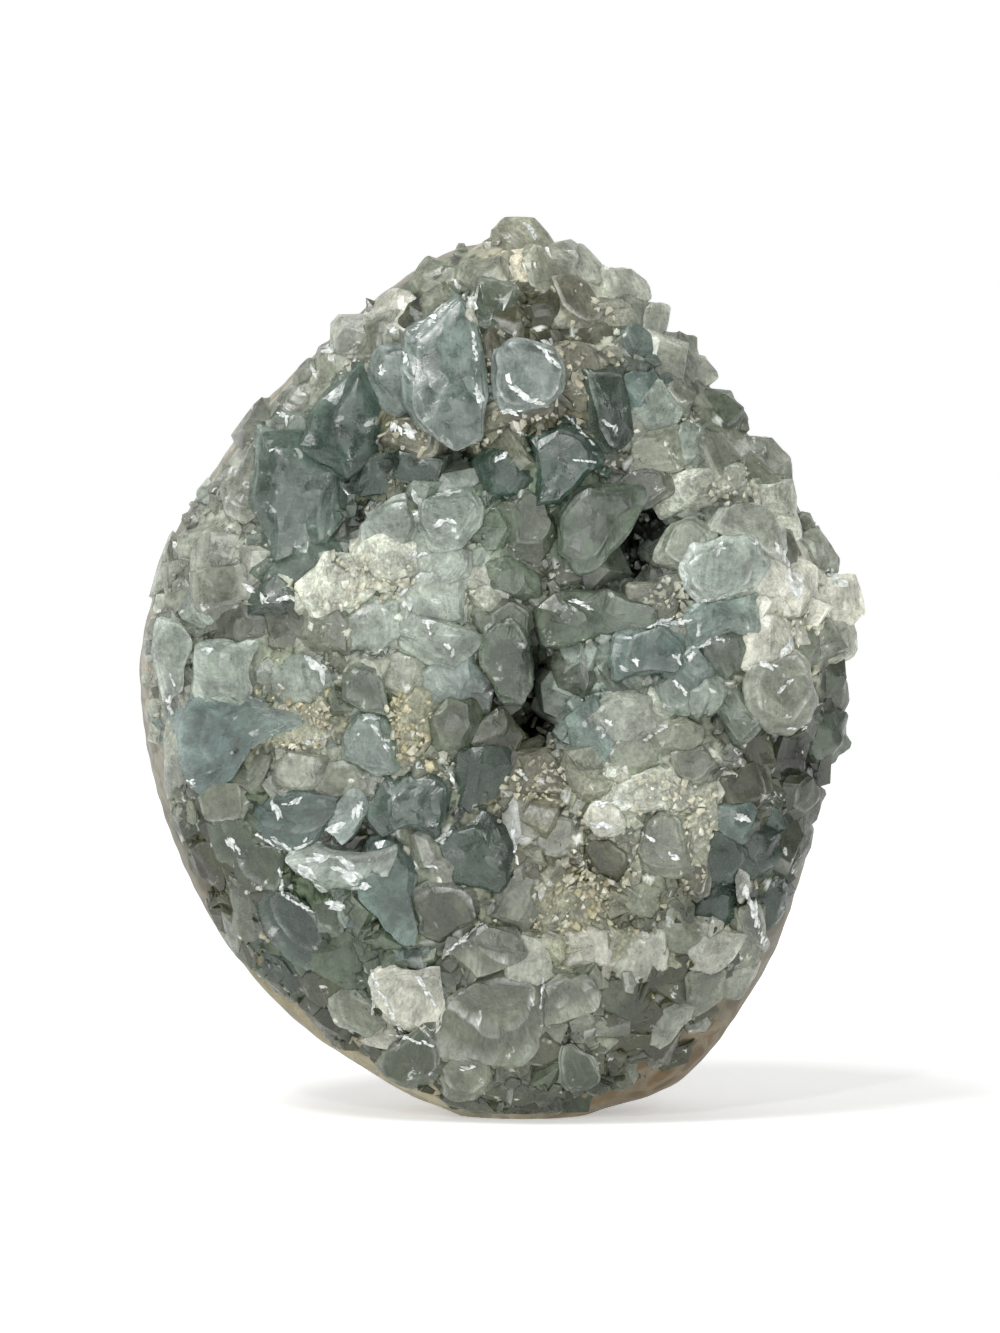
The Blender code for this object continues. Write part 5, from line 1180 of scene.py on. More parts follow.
def grow_heads(form, x, z, wide, tall, turn, lean_right, lean_up, proud, cut, colour, chance, parts):
    """Crystals of one form, worked out together: points, faces, colours, own places and smooth faces.

    Each is a stack of rings of its outline's corners, closed by a middle point at the root and one at the
    top. Its axes lean with the face, and its place comes from the dome, brought forward by how proud it
    stands.
    """
    count = len(x)
    exact, named = form in EXACT_FORMS, form in NAMED_FORMS
    shift = np.array(CROWNS[form][2:4]) + chance.uniform(-CROWN_SHIFT, CROWN_SHIFT, (count, 1, 2))
    deep = CROWNS[form][4] * chance.uniform(*CROWN_DEPTH, count)
    across, up, out = crystal_axes(x, z, lean_right, lean_up, turn)
    if exact:
        across, up, out = facing_front(out)
    size = np.stack((wide, tall), axis=1)[:, None, :]
    uneven, grown = (DRAWN_UNEVEN, DRAWN_GROWN) if exact else (PLAIN_UNEVEN, GROWN_INTO)
    corners = np.array(HEAD_OUTLINES[form])[None] * size * grown
    sides = corners.shape[1]
    corners = corners + chance.uniform(-uneven, uneven, (count, sides, 2)) * size
    least = np.minimum(wide, tall)
    cut = np.minimum(cut, MOST_CUT * least)[:, None, None]
    keep = crown_keep(form, count, chance)[:, None, :]
    keep = keep * (1 + chance.uniform(*UNEVEN_RANGE, (count, sides, 1)) * CROWN_UNEVEN[named])
    slant = chance.uniform(-SLANT_RANGE, SLANT_RANGE, (count, 1, 2))
    girdle = (-deep * least * GROWN_INTO)[:, None]
    root = girdle - GRAIN_ROOT
    if parts != GRAIN:
        buried = BED_DEPTH + proud + ROOT_BELOW_BED + hollow_depth(x, z, PITS)
        root = np.minimum(-buried[:, None], girdle - 2 * cut[:, :, 0])
    rings, middle = head_rings(corners, keep, cut, shift * size, slant, girdle, root, parts)
    own = np.concatenate(rings + [solid(0 * shift, root), middle], axis=1)
    own = chipped(own, wide, tall, CHIPS[parts], FINE_CHIP_REACH if named else CHIP_REACH, chance)
    stand = np.minimum(slope_y(x, z), face_y(x, z, BED_DEPTH, BROAD_DIP, bed_edge)) - proud
    points = np.stack((x, stand, z), axis=1)[:, None, :] + on_axes(own, across, up, out)
    points = ground_back(warped(points))
    levels, around = len(rings), rings[0].shape[1]
    walls = grid_faces(levels, around, True)
    root_fan, top_fan = end_fans(levels, around)
    quads = repeated(walls, count, own.shape[1])
    triangles = repeated(np.concatenate((top_fan, root_fan)), count, own.shape[1])
    colours = head_colours(colour, points, keep, chance, parts)
    places = own + chance.uniform(-PATTERN_SPREAD, PATTERN_SPREAD, (count, 1, 3))
    soft_walls = (np.arange(len(walls)) // around >= SOFT_FROM) & named
    soft = np.tile(soft_walls, count), np.tile(np.repeat((named, False), around), count)
    return points.reshape(-1, 3), quads, triangles, colours.reshape(-1, 3), places.reshape(-1, 3), soft


def join_heads(name, lots, material):
    """One piece from several lots of crystals; the tops of the four named forms are smooth, as if worn."""
    points, quads, triangles, colours, places, smooth = zip(*lots)
    starts = np.cumsum([0] + [len(lot) for lot in points])
    soft = np.concatenate([each[0] for each in smooth] + [each[1] for each in smooth])
    quads = np.concatenate([lot + start for lot, start in zip(quads, starts)])
    triangles = np.concatenate([lot + start for lot, start in zip(triangles, starts)])
    piece = new_piece(name, np.concatenate(points), (quads, triangles), soft, "crystal_crust", material)
    give_points(piece, "tone", np.concatenate(colours))
    give_points(piece, "own", np.concatenate(places))
    return piece


def main_crystals():
    """The crystals of the tables, in one lot for each degree of clearness."""
    chance = np.random.default_rng(MAIN_START)
    lots = {"clear": [], "cloudy": [], "milky": []}
    for form in HEAD_OUTLINES:
        for clearness, lot in lots.items():
            rows = [row for row in ALL_CRYSTALS if row[0] == form and TONES[row[9]][1] == clearness]
            if not rows:
                continue
            count = len(rows)
            values = np.array([row[1:9] for row in rows], float).T
            x, z, wide, tall, turn, lean_right, lean_up, proud = values
            colour = np.array([linear(TONES[row[9]][0]) for row in rows])
            lean_right = lean_right + chance.normal(0, LEAN_SPREAD, count)
            lean_up = lean_up + chance.normal(0, LEAN_SPREAD, count)
            loose = form not in EXACT_FORMS
            turn = turn + chance.normal(0, TURN_SPREAD, count) * loose
            x = x + chance.normal(0, PLACE_SPREAD, count) * loose
            z = z + chance.normal(0, PLACE_SPREAD, count) * loose
            proud = LEAST_PROUD + PROUD_SHARE * proud
            lot.append(grow_heads(form, x, z, wide, tall, turn, lean_right, lean_up, proud, MAIN_CUT, colour,
                                  chance, MAIN))
    return lots


def covered(x, z):
    """How near the nearest main crystal's middle is, below 1 inside its ellipse, and its number."""
    rows = np.array([row[1:6] for row in ALL_CRYSTALS], float)
    turn = np.radians(rows[:, 4])
    right, up = x[:, None] - rows[:, 0], z[:, None] - rows[:, 1]
    across = (right * np.cos(turn) - up * np.sin(turn)) / (rows[:, 2] / 2)
    along = (right * np.sin(turn) + up * np.cos(turn)) / (rows[:, 3] / 2)
    away = np.sqrt(across**2 + along**2)
    return away.min(axis=1), away.argmin(axis=1)


def ground_amount(x, z):
    """How far the places are ground flush: 0 inside the face, up to 1 at the ground parts of the rim."""
    angle, away = polar(x, z)
    share = away / stone_radius(angle)
    return by_angle(angle, GROUND_SHARE) * np.clip((share - GROUND_FROM) / GROUND_OVER, 0, 1)


def scattered(spacing, seed, inset):
    """Places on the face: a square grid whose points are each moved at random.

    They keep this far inside the edge where crystals stand well outside the stone.
    """
    chance = np.random.default_rng(seed)
    side = np.arange(*SCATTER_RANGE, spacing)
    x, z = (grid.ravel() for grid in np.meshgrid(side, side))
    x = x + chance.uniform(-0.5, 0.5, x.shape) * spacing
    z = z + chance.uniform(-0.5, 0.5, z.shape) * spacing
    angle, away = polar(x, z)
    outside = by_angle(angle, OVERHANG)
    edge = stone_radius(angle) + np.minimum(outside, MOST_OVERHANG) - by_angle(angle, BARE_RIM)
    inside = away < edge - inset * (outside > 1)
    return x[inside], z[inside]


def small_crystals(lots):
    """Small crystals that fill the gaps between the main ones, in three sizes, toned by the patches."""
    chance = np.random.default_rng(SMALL_START)
    row_tone = np.array([TONE_NAMES.index(row[9]) for row in ALL_CRYSTALS])
    for spacing, least, most, proud_low, proud_high, outside in SMALL_SIZES:
        x, z = scattered(spacing, int(spacing * 100), SMALL_INSET * least)
        away, nearest = covered(x, z)
        gap = (away > outside) & (hollow_depth(x, z, PITS) < PIT_DEPTH)
        x, z, nearest = x[gap], z[gap], nearest[gap]
        count, pit = len(x), hollow_depth(x, z, PITS)
        own_tone = patch_draw(x, z, chance)
        tone = np.where(chance.uniform(0, 1, count) < LIKE_NEAREST, row_tone[nearest], own_tone)
        form_of = chance.integers(0, len(SMALL_FORMS), count)
        size = chance.uniform(least, most, count)
        stretch = chance.uniform(*SMALL_STRETCH, count)
        turn = chance.uniform(0, 360, count)
        lean_right = chance.normal(0, SMALL_LEAN, count)
        lean_up = chance.normal(0, SMALL_LEAN, count)
        proud = chance.uniform(proud_low, proud_high, count) - PIT_FOLLOWED * pit
        proud = proud - GROUND_FOLLOWED * ground_amount(x, z)
        # Random shade, and painted shade that darkens them with the pit's depth
        shade = chance.uniform(*SMALL_SHADES, (count, 1)) * np.exp(-SMALL_PIT_SHADE * pit)[:, None]
        clearness_of = np.array([TONES[TONE_NAMES[each]][1] for each in tone])
        for number, form in enumerate(SMALL_FORMS):
            for clearness, lot in lots.items():
                pick = (form_of == number) & (clearness_of == clearness)
                if not pick.any():
                    continue
                wide, tall = size[pick] * stretch[pick], size[pick] / stretch[pick]
                colour = TONE_COLOURS[tone[pick]] * shade[pick]
                lot.append(grow_heads(form, x[pick], z[pick], wide, tall, turn[pick], lean_right[pick],
                                      lean_up[pick], proud[pick], SMALL_CUT, colour, chance, SMALL))
    return lots


def druse_grains(material):
    """Sugary grains: tiny five-sided pointed heads between the crystals, thickest where patches say so."""
    chance = np.random.default_rng(GRAIN_START)
    x, z = scattered(GRAIN_SPACING, GRAIN_PLACES_START, 0.0)
    away, nearest = covered(x, z)
    on_milky = np.array([TONES[row[9]][1] == "milky" for row in ALL_CRYSTALS])[nearest] & (away < 1)
    pit_edge = np.exp(-((hollow_depth(x, z, PITS) - PIT_EDGE_DEPTH) / PIT_EDGE_WIDTH) ** 2)
    everywhere, by_sugar, by_milky, by_pit = GRAIN_SHARES
    share = everywhere + by_sugar * patch_sugar(x, z) + by_milky * on_milky + by_pit * pit_edge
    keep = (chance.uniform(0, 1, len(x)) < share) & ((away > GRAIN_CLEAR_OF_MAIN) | on_milky)
    angle, from_middle = polar(x, z)
    keep = keep & (from_middle < stone_radius(angle) - by_angle(angle, BARE_RIM) - GRAIN_RIM)
    x, z, on_milky, nearest, pit_edge = x[keep], z[keep], on_milky[keep], nearest[keep], pit_edge[keep]
    count, pit = len(x), hollow_depth(x, z, PITS)
    stands = LEAST_PROUD + PROUD_SHARE * np.array([row[8] for row in ALL_CRYSTALS])[nearest]
    size = chance.uniform(*GRAIN_SIZES, count) + LARGER_BY * (chance.uniform(0, 1, count) < LARGER_SHARE)
    tone = patch_draw(x, z, chance)
    colour = TONE_COLOURS[tone] * chance.uniform(*GRAIN_SHADES, (count, 1))
    everywhere, by_sugar, by_pit = SUGAR_SHARES
    sugary = chance.uniform(0, 1, count) < everywhere + by_sugar * patch_sugar(x, z) + by_pit * pit_edge
    sugary = sugary | on_milky
    kind = chance.integers(0, 4, count) + 4 * (tone == TONE_NAMES.index("golden"))
    sugar = SUGAR_COLOURS[kind] * chance.uniform(*SUGAR_SHADES, (count, 1))
    # Painted shade: grains darker with the pit's depth
    colour = np.where(sugary[:, None], sugar, colour) * np.exp(-GRAIN_PIT_SHADE * pit)[:, None]
    proud = chance.uniform(*GRAIN_PROUD, count) - PIT_FOLLOWED * pit
    proud = proud - GRAIN_GROUND_FOLLOWED * ground_amount(x, z)
    proud = np.where(on_milky, stands + chance.uniform(*GRAIN_ON_MILKY, count), proud)
    turn = chance.uniform(0, 360, count)
    lean_right, lean_up = chance.normal(0, GRAIN_LEAN, (2, count))
    heads = grow_heads("wedge", x, z, size, size * GRAIN_STRETCH, turn, lean_right, lean_up, proud,
                       GRAIN_CUT, colour, chance, GRAIN)
    return join_heads("druse_grains", [heads], material)


def first_hit(trees, x, z):
    """The foremost point and face direction of the crystals at this place, or nothing."""
    start, way = Vector((x * MM, -1.0, z * MM)), Vector((0.0, 1.0, 0.0))
    hits = [tree.ray_cast(start, way) for tree in trees]
    hits = [hit for hit in hits if hit[0] is not None]
    if not hits:
        return None
    nearest = min(hits, key=lambda hit: hit[3])
    return np.array(nearest[0]) / MM, np.array(nearest[1])


def glint_flakes(crystals, material):
    """Painted glints: white flakes lying on the crystals along the lines of the table, for reflections.

    Each flake is an uneven six-sided plate, longer along its line. A straight look from the front finds
    the crystal under it, and it lies on that face with its middle a little proud.
    """
    chance = np.random.default_rng(GLINT_FLAKE_START)
    rows = np.array(GLINT_LINES)
    way = rows[:, 2:4] - rows[:, :2]
    by_length = np.round(np.hypot(way[:, 0], way[:, 1]) / rows[:, 4] * FLAKES_BY_LENGTH)
    row = np.repeat(np.arange(len(rows)), FLAKES_LEAST + by_length.astype(int))
    along = chance.uniform(0, 1, len(row))[:, None]
    wide = rows[row, 4] * chance.uniform(*FLAKE_SIZES, len(row))
    place = rows[row, :2] * (1 - along) + rows[row, 2:4] * along
    place = place + chance.normal(0, FLAKE_SCATTER, (len(row), 2)) * wide[:, None]
    evaluated = bpy.context.evaluated_depsgraph_get()
    trees = [BVHTree.FromObject(piece, evaluated) for piece in crystals]
    looks = [first_hit(trees, x, z) for x, z in place]
    found = np.array([look is not None for look in looks])
    spot = np.array([look[0] for look in looks if look])
    out = np.array([look[1] for look in looks if look])
    line = np.stack((way[row, 0], 0 * wide, way[row, 1]), axis=1)[found]
    wide = wide[found]
    count = len(spot)
    out = unit(out + chance.normal(0, FLAKE_TILT, (count, 3)))
    up = unit(np.cross(out, line + chance.normal(0, FLAKE_TURN, (count, 3))))
    across = np.cross(up, out)
    angle = np.linspace(0, 2 * math.pi, FLAKE_SIDES, endpoint=False)
    angle = angle + chance.uniform(-FLAKE_SKEW, FLAKE_SKEW, (count, FLAKE_SIDES))
    radius = 0.5 * wide[:, None] * chance.uniform(*FLAKE_RADII, (count, FLAKE_SIDES))
    flat = np.stack((FLAKE_LENGTH * radius * np.cos(angle), FLAKE_WIDTH * radius * np.sin(angle)), axis=-1)
    rise = np.full((count, FLAKE_SIDES), FLAKE_PROUD)
    rings = np.concatenate((solid(flat, 0 * rise - FLAKE_UNDER), solid(flat * FLAKE_TOP, rise)), axis=1)
    points = spot[:, None] + on_axes(rings, across, up, out)
    top = np.arange(FLAKE_SIDES, 2 * FLAKE_SIDES)[None]
    under = np.arange(FLAKE_SIDES)[::-1][None]
    quads = repeated(grid_faces(2, FLAKE_SIDES, True), count, 2 * FLAKE_SIDES)
    ends = repeated(np.concatenate((top, under)), count, 2 * FLAKE_SIDES)
    return new_piece("glint_flakes", points.reshape(-1, 3), (quads, ends), False, "crystal_crust", material)


# Bed and stone

def square_angle(across, upward):
    """Angle of the disc's ray for each place of the square; each eighth becomes an eighth of a turn."""
    eighth = math.pi / 4
    flat = np.abs(across) >= np.abs(upward)
    safe_across = across + np.where(across == 0, TINY, 0)
    safe_upward = upward + np.where(upward == 0, TINY, 0)
    side = np.where(across >= 0, 0.0, math.pi) + eighth * upward / safe_across
    above = np.where(upward >= 0, math.pi / 2, -math.pi / 2) - eighth * across / safe_upward
    return np.where(flat, side, above)


def rim_loop(count):
    """Point numbers along the edge of a square grid, once round."""
    numbers = np.arange(count * count).reshape(count, count)
    return np.concatenate((numbers[:-1, 0], numbers[-1, :-1], numbers[:0:-1, -1], numbers[0, :0:-1]))


def domed(swing, angle, edge):
    """Superellipse dome: shares of the way out and of the depth, x and z, by a swing of half a turn."""
    power = 2 / BODY_SQUARENESS
    share = np.cos(swing) ** power
    bulge = np.abs(np.sin(swing)) ** power
    radius = edge(angle) * share
    return share, bulge, MIDDLE_X + radius * np.cos(angle), MIDDLE_Z + radius * np.sin(angle)


def crystal_bed(material):
    """The druse that the crystals stand on: a square grid bent to a disc and domed over the stone.

    The distance from the grid's middle runs over the face, past the rim and round behind it. Packed
    facets of two sizes roughen it, and its edge is closed to a point inside the stone.
    """
    side = np.linspace(-1, 1, BED_CELLS + 1)
    across, upward = np.meshgrid(side, side, indexing="ij")
    far = np.maximum(np.abs(across), np.abs(upward))
    swing = np.where(far < FACE_PART, far / FACE_PART - 1, (far - FACE_PART) / BEHIND_PART * BEHIND_TURN)
    swing = swing * math.pi / 2
    bulge, x, z = domed(swing, square_angle(across, upward), bed_edge)[1:]
    large, shade, joint = cell_facets(x, z, *LARGE_FACETS[1:])
    fine, fine_shade, fine_joint = cell_facets(x, z, *FINE_FACETS[1:])
    relief = BED_FILL + LARGE_FACETS[0] * large + FINE_FACETS[0] * fine
    relief = relief * np.minimum(1, bulge * RELIEF_FADE) ** 2
    front = WIDEST_Y - (DOME_DEPTH + BED_DEPTH - hollow_depth(x, z)) * bulge - relief
    y = np.where(swing < 0, front, WIDEST_Y + BED_BACK * bulge)
    points = np.stack((x, y, np.maximum(z, FOOT_CLEARANCE)), axis=-1).reshape(-1, 3)
    points = np.concatenate((points, ((MIDDLE_X, WIDEST_Y + BED_BACK, MIDDLE_Z),)))
    faces = grid_faces(BED_CELLS + 1, BED_CELLS + 1, False)
    colour = mixed_tones(patch_weights(x, z)).reshape(-1, 3)
    mottle = MOTTLE + MOTTLE_LARGE * shade + MOTTLE_FINE * fine_shade
    mottle = mottle - JOINT_LARGE * joint - JOINT_FINE * fine_joint
    # Painted shade: the darkest cells become dark spots for tiny pits
    mottle = np.where(fine_shade < SHADED_SPOT_BELOW, SHADED_SPOT_LIGHT, mottle).reshape(-1, 1)
    fleck = (fine_shade > FLECKED_ABOVE).reshape(-1, 1)
    colour = colour + (EDGE_COLOUR - colour) * FLECK_LIGHT * fleck
    # Painted shade: the bed darker with the pit's depth
    colour = colour * mottle * np.exp(-BED_PIT_SHADE * hollow_depth(x, z, PITS)).reshape(-1, 1)
    rim = rim_loop(BED_CELLS + 1)
    closing = np.stack((rim, np.roll(rim, -1), np.full(len(rim), len(points) - 1)), axis=1)
    piece = new_piece("crystal_bed", points, (faces, closing), False, "crystal_crust", material)
    give_points(piece, "tone", np.concatenate((colour, colour[:1])))
    return piece


def ground_stone(material):
    """The ground teardrop: rings of its outline, smaller towards the front and back, with soft dents.

    Width and depth follow a superellipse, the back swells softly, and everything below the ground plane
    is flattened to it, which makes the spot that it stands on. Tones go round the rim and fade to one
    behind.
    """
    angle = np.linspace(-math.pi, math.pi, STONE_AROUND, endpoint=False)[None, :]
    swing = np.linspace(-math.pi / 2, math.pi / 2, STONE_RINGS + 2)[1:-1, None]
    share, bulge, x, z = domed(swing, angle, stone_radius)
    back_wave = 0.6 * np.sin(0.13 * x + 0.9) * np.sin(0.11 * z + 0.4)
    back_wave = back_wave + 0.4 * np.sin(0.21 * z - 0.17 * x + 2.0)
    front = WIDEST_Y - (DOME_DEPTH - hollow_depth(x, z)) * bulge
    y = np.where(swing < 0, front, WIDEST_Y + (BACK_DEPTH + UNEVEN * back_wave) * bulge)
    broad, narrow = (deep * waves(x, y, z, length, start) for deep, length, start in DENTS)
    dent = broad + narrow
    x = x - dent * share * np.cos(angle)
    z = z - dent * share * np.sin(angle)
    y = y - dent * np.where(swing > 0, bulge, 0)
    z = np.maximum(z, 0.0)
    points = np.stack(np.broadcast_arrays(x, y, z), axis=-1).reshape(-1, 3)
    front = float(face_y(0.0, MIDDLE_Z))
    poles = ((MIDDLE_X, front, MIDDLE_Z), (MIDDLE_X, WIDEST_Y + BACK_DEPTH, MIDDLE_Z))
    points = np.concatenate((points, poles))
    walls = grid_faces(STONE_RINGS, STONE_AROUND, True)
    caps = np.concatenate(end_fans(STONE_RINGS, STONE_AROUND))
    piece = new_piece("ground_stone", points, (walls, caps), True, "matrix", material)
    degrees, tones = zip(*RIM_TONES)
    tones = np.array([linear(STONE_TONES[tone]) for tone in tones])
    tone = np.stack([by_angle(angle, tuple(zip(degrees, channel))) for channel in tones.T], axis=-1)
    behind = np.clip((y - WIDEST_Y) / RIM_TONE_DEPTH, 0, 1)[..., None]
    behind = behind * behind * (3 - 2 * behind)
    tone = (tone * (1 - behind) + np.array(linear(BACK_TONE)) * behind).reshape(-1, 3)
    give_points(piece, "tone", np.concatenate((tone, tone[:1], tone[:1])))
    along = np.stack(np.broadcast_arrays(angle * STREAK_RADIUS, y, 0.0), axis=-1).reshape(-1, 3)
    give_points(piece, "along", np.concatenate((along, along[:1], along[:1])))
    return piece


# Materials. Patterns on Object coordinates count in metres, so a scale of 1000 is one to a millimetre.
# Those on own places and along the stone count in millimetres.

def new_material(name):
    """A material with its node tree and its shader."""
    material = bpy.data.materials.new(name)
    material.use_nodes = True
    tree = material.node_tree
    return material, tree, tree.nodes["Principled BSDF"]


def crystal_material(name, clear, roughness, veil, grit, absorb):
    """Celestite with natural growth faces: glassy, with cloudy veils and streaks inside, and painted glints
    and shade.

    Veils about 4 mm across run on from crystal to crystal and make some of each paler. Cells about 1.6 mm
    wide tilt the face a little each way, so the gloss breaks into small glints, and are painted a little
    lighter or darker with their tilt. A few finer cells, 0.9 mm wide, are painted nearly white as glints.
    """
    material, tree, shader = new_material(name)
    tone = add_node(tree, "Attribute", {"attribute_name": "tone"}, {})["Color"]
    own = add_node(tree, "Attribute", {"attribute_name": "own"}, {})["Vector"]
    place = add_node(tree, "TexCoord", {}, {})["Object"]
    # Cloudy veils
    clouds = add_node(tree, "TexNoise", {"Scale": 280.0, "Detail": 5.0, "Roughness": 0.62},
                      {"Vector": place})
    veils = add_node(tree, "MapRange",
                     {"From Min": 0.4, "From Max": 0.7, "To Min": 1 - veil, "To Max": 1 + veil},
                     {"Value": clouds["Fac"]})["Result"]
    pale = add_node(tree, "VectorMath", {"operation": "SCALE"}, {0: tone, "Scale": veils})["Vector"]
    # Light and dark inside each crystal, about 1.4 mm across
    mottle = add_node(tree, "TexNoise", {"Scale": 0.7, "Detail": 6.0, "Roughness": 0.72},
                      {"Vector": own})["Fac"]
    depth = add_node(tree, "MapRange", {"From Min": 0.3, "From Max": 0.7, "To Min": 0.7, "To Max": 1.3},
                     {"Value": mottle})["Result"]
    deep = add_node(tree, "VectorMath", {"operation": "SCALE"}, {0: pale, "Scale": depth})["Vector"]
    # Growth streaks along the crystal, ten times as long as wide
    long = add_node(tree, "Mapping", {"Scale": (5.0, 0.5, 5.0)}, {"Vector": own})["Vector"]
    streaks = add_node(tree, "TexNoise", {"Scale": 0.8, "Detail": 3.0}, {"Vector": long})["Fac"]
    streaked = add_node(tree, "MapRange",
                        {"From Min": 0.35, "From Max": 0.65, "To Min": 0.86, "To Max": 1.14},
                        {"Value": streaks})["Result"]
    # Grit about 0.4 mm across
    grains = add_node(tree, "TexNoise", {"Scale": 2.6, "Detail": 3.0, "Roughness": 0.8},
                      {"Vector": own})["Fac"]
    gritty = add_node(tree, "MapRange",
                      {"From Min": 0.36, "From Max": 0.64, "To Min": 1 - grit, "To Max": 1 + grit},
                      {"Value": grains})["Result"]
    # Painted light and shade: each cell a little lighter or darker, by the random colour that also tilts it
    # below
    cells = add_node(tree, "TexVoronoi", {"Scale": 0.6}, {"Vector": own})
    parted = add_node(tree, "SeparateColor", {}, {"Color": cells["Color"]})
    tilt_shade = add_node(tree, "MapRange", {"To Min": 0.88, "To Max": 1.12},
                       {"Value": parted["Green"]})["Result"]
    gritty = add_node(tree, "Math", {"operation": "MULTIPLY"}, {0: tilt_shade, 1: gritty})["Value"]
    both = add_node(tree, "Math", {"operation": "MULTIPLY"}, {0: streaked, 1: gritty})["Value"]
    lined = add_node(tree, "VectorMath", {"operation": "SCALE"}, {0: deep, "Scale": both})["Vector"]
    # Painted glints: a few cells nearly white, in groups where the inside is light
    glint_cells = add_node(tree, "TexVoronoi", {"Scale": 1.1}, {"Vector": own})["Color"]
    glint_value = add_node(tree, "SeparateColor", {}, {"Color": glint_cells})["Red"]
    glint_mask = add_node(tree, "MapRange", {"From Min": 0.95, "From Max": 0.97, "To Max": 0.7},
                       {"Value": glint_value})["Result"]
    groups = add_node(tree, "MapRange", {"From Min": 0.53, "From Max": 0.58}, {"Value": mottle})["Result"]
    flecks = add_node(tree, "Math", {"operation": "MULTIPLY"}, {0: glint_mask, 1: groups})["Value"]
    colour = add_node(tree, "MixRGB", {2: opaque("#eef0ec")}, {"Fac": flecks, 1: lined})["Color"]
    # Each cell is a plane tilted by its own random colour, with fine lines over it
    from_middle = add_node(tree, "VectorMath", {"operation": "SUBTRACT"}, {0: own, 1: cells["Position"]})
    tilt = add_node(tree, "VectorMath", {"operation": "SUBTRACT", 1: (0.5, 0.5, 0.5)},
                    {0: cells["Color"]})
    plane = add_node(tree, "VectorMath", {"operation": "DOT_PRODUCT"},
                     {0: from_middle["Vector"], 1: tilt["Vector"]})["Value"]
    lines = add_node(tree, "TexNoise", {"Scale": 3.5, "Detail": 5.0, "Roughness": 0.65},
                     {"Vector": own})["Fac"]
    height = add_node(tree, "Math", {"operation": "MULTIPLY_ADD", 1: 0.12}, {0: lines, 2: plane})["Value"]
    bump = add_node(tree, "Bump", {"Strength": 0.4, "Distance": 0.5 * MM}, {"Height": height})["Normal"]
    # Etched places are duller
    etched = add_node(tree, "MapRange", {"From Min": 0.4, "From Max": 0.6, "To Min": roughness,
                                         "To Max": roughness + 0.3}, {"Value": mottle})["Result"]
    looks = {
        "IOR": 1.624,
        "Transmission Weight": clear,
        "Subsurface Weight": 0.4,
        "Subsurface Radius": (1.0, 1.0, 1.0),
        "Subsurface Scale": 1.2 * MM,
    }
    set_node(tree, shader, looks, {"Base Color": colour, "Normal": bump, "Roughness": etched})
    if absorb:
        volume = add_node(tree, "VolumeAbsorption", {"Color": opaque(absorb), "Density": 60.0},
                          {})["Volume"]
        set_node(tree, tree.nodes["Material Output"], {}, {"Volume": volume})
    return material


def glint_material():
    """Painted glints: a nearly white material for flakes that stand for reflections, with a slight sparkle.

    The light and dark specks are about 0.6 mm across.
    """
    material, tree, shader = new_material("painted glint white")
    place = add_node(tree, "TexCoord", {}, {})["Object"]
    fine = add_node(tree, "TexNoise", {"Scale": 1800.0, "Detail": 3.0}, {"Vector": place})["Fac"]
    shade = add_node(tree, "MapRange", {"From Min": 0.35, "From Max": 0.65}, {"Value": fine})["Result"]
    colour = add_node(tree, "MixRGB", {1: opaque("#9aa19d"), 2: opaque("#e2e6e2")},
                      {"Fac": shade})["Color"]
    bump = add_node(tree, "Bump", {"Strength": 0.5, "Distance": 0.1 * MM}, {"Height": fine})["Normal"]
    set_node(tree, shader, {"Roughness": 0.2, "IOR": 1.624}, {"Base Color": colour, "Normal": bump})
    return material


def druse_material(name):
    """Sugary druse: tiny celestite and calcite grains, matt in the mass, with light and dark 1 mm across."""
    material, tree, shader = new_material(name)
    tone = add_node(tree, "Attribute", {"attribute_name": "tone"}, {})["Color"]
    place = add_node(tree, "TexCoord", {}, {})["Object"]
    grit = add_node(tree, "TexNoise", {"Scale": 900.0, "Detail": 5.0, "Roughness": 0.7},
                    {"Vector": place})["Fac"]
    depth = add_node(tree, "MapRange", {"From Min": 0.3, "From Max": 0.7, "To Min": 0.6, "To Max": 1.5},
                     {"Value": grit})["Result"]
    colour = add_node(tree, "VectorMath", {"operation": "SCALE"}, {0: tone, "Scale": depth})["Vector"]
    bump = add_node(tree, "Bump", {"Strength": 0.6, "Distance": 0.3 * MM}, {"Height": grit})["Normal"]
    looks = {"Roughness": 0.38, "IOR": 1.62, "Specular IOR Level": 0.2}
    set_node(tree, shader, looks, {"Base Color": colour, "Normal": bump})
    return material


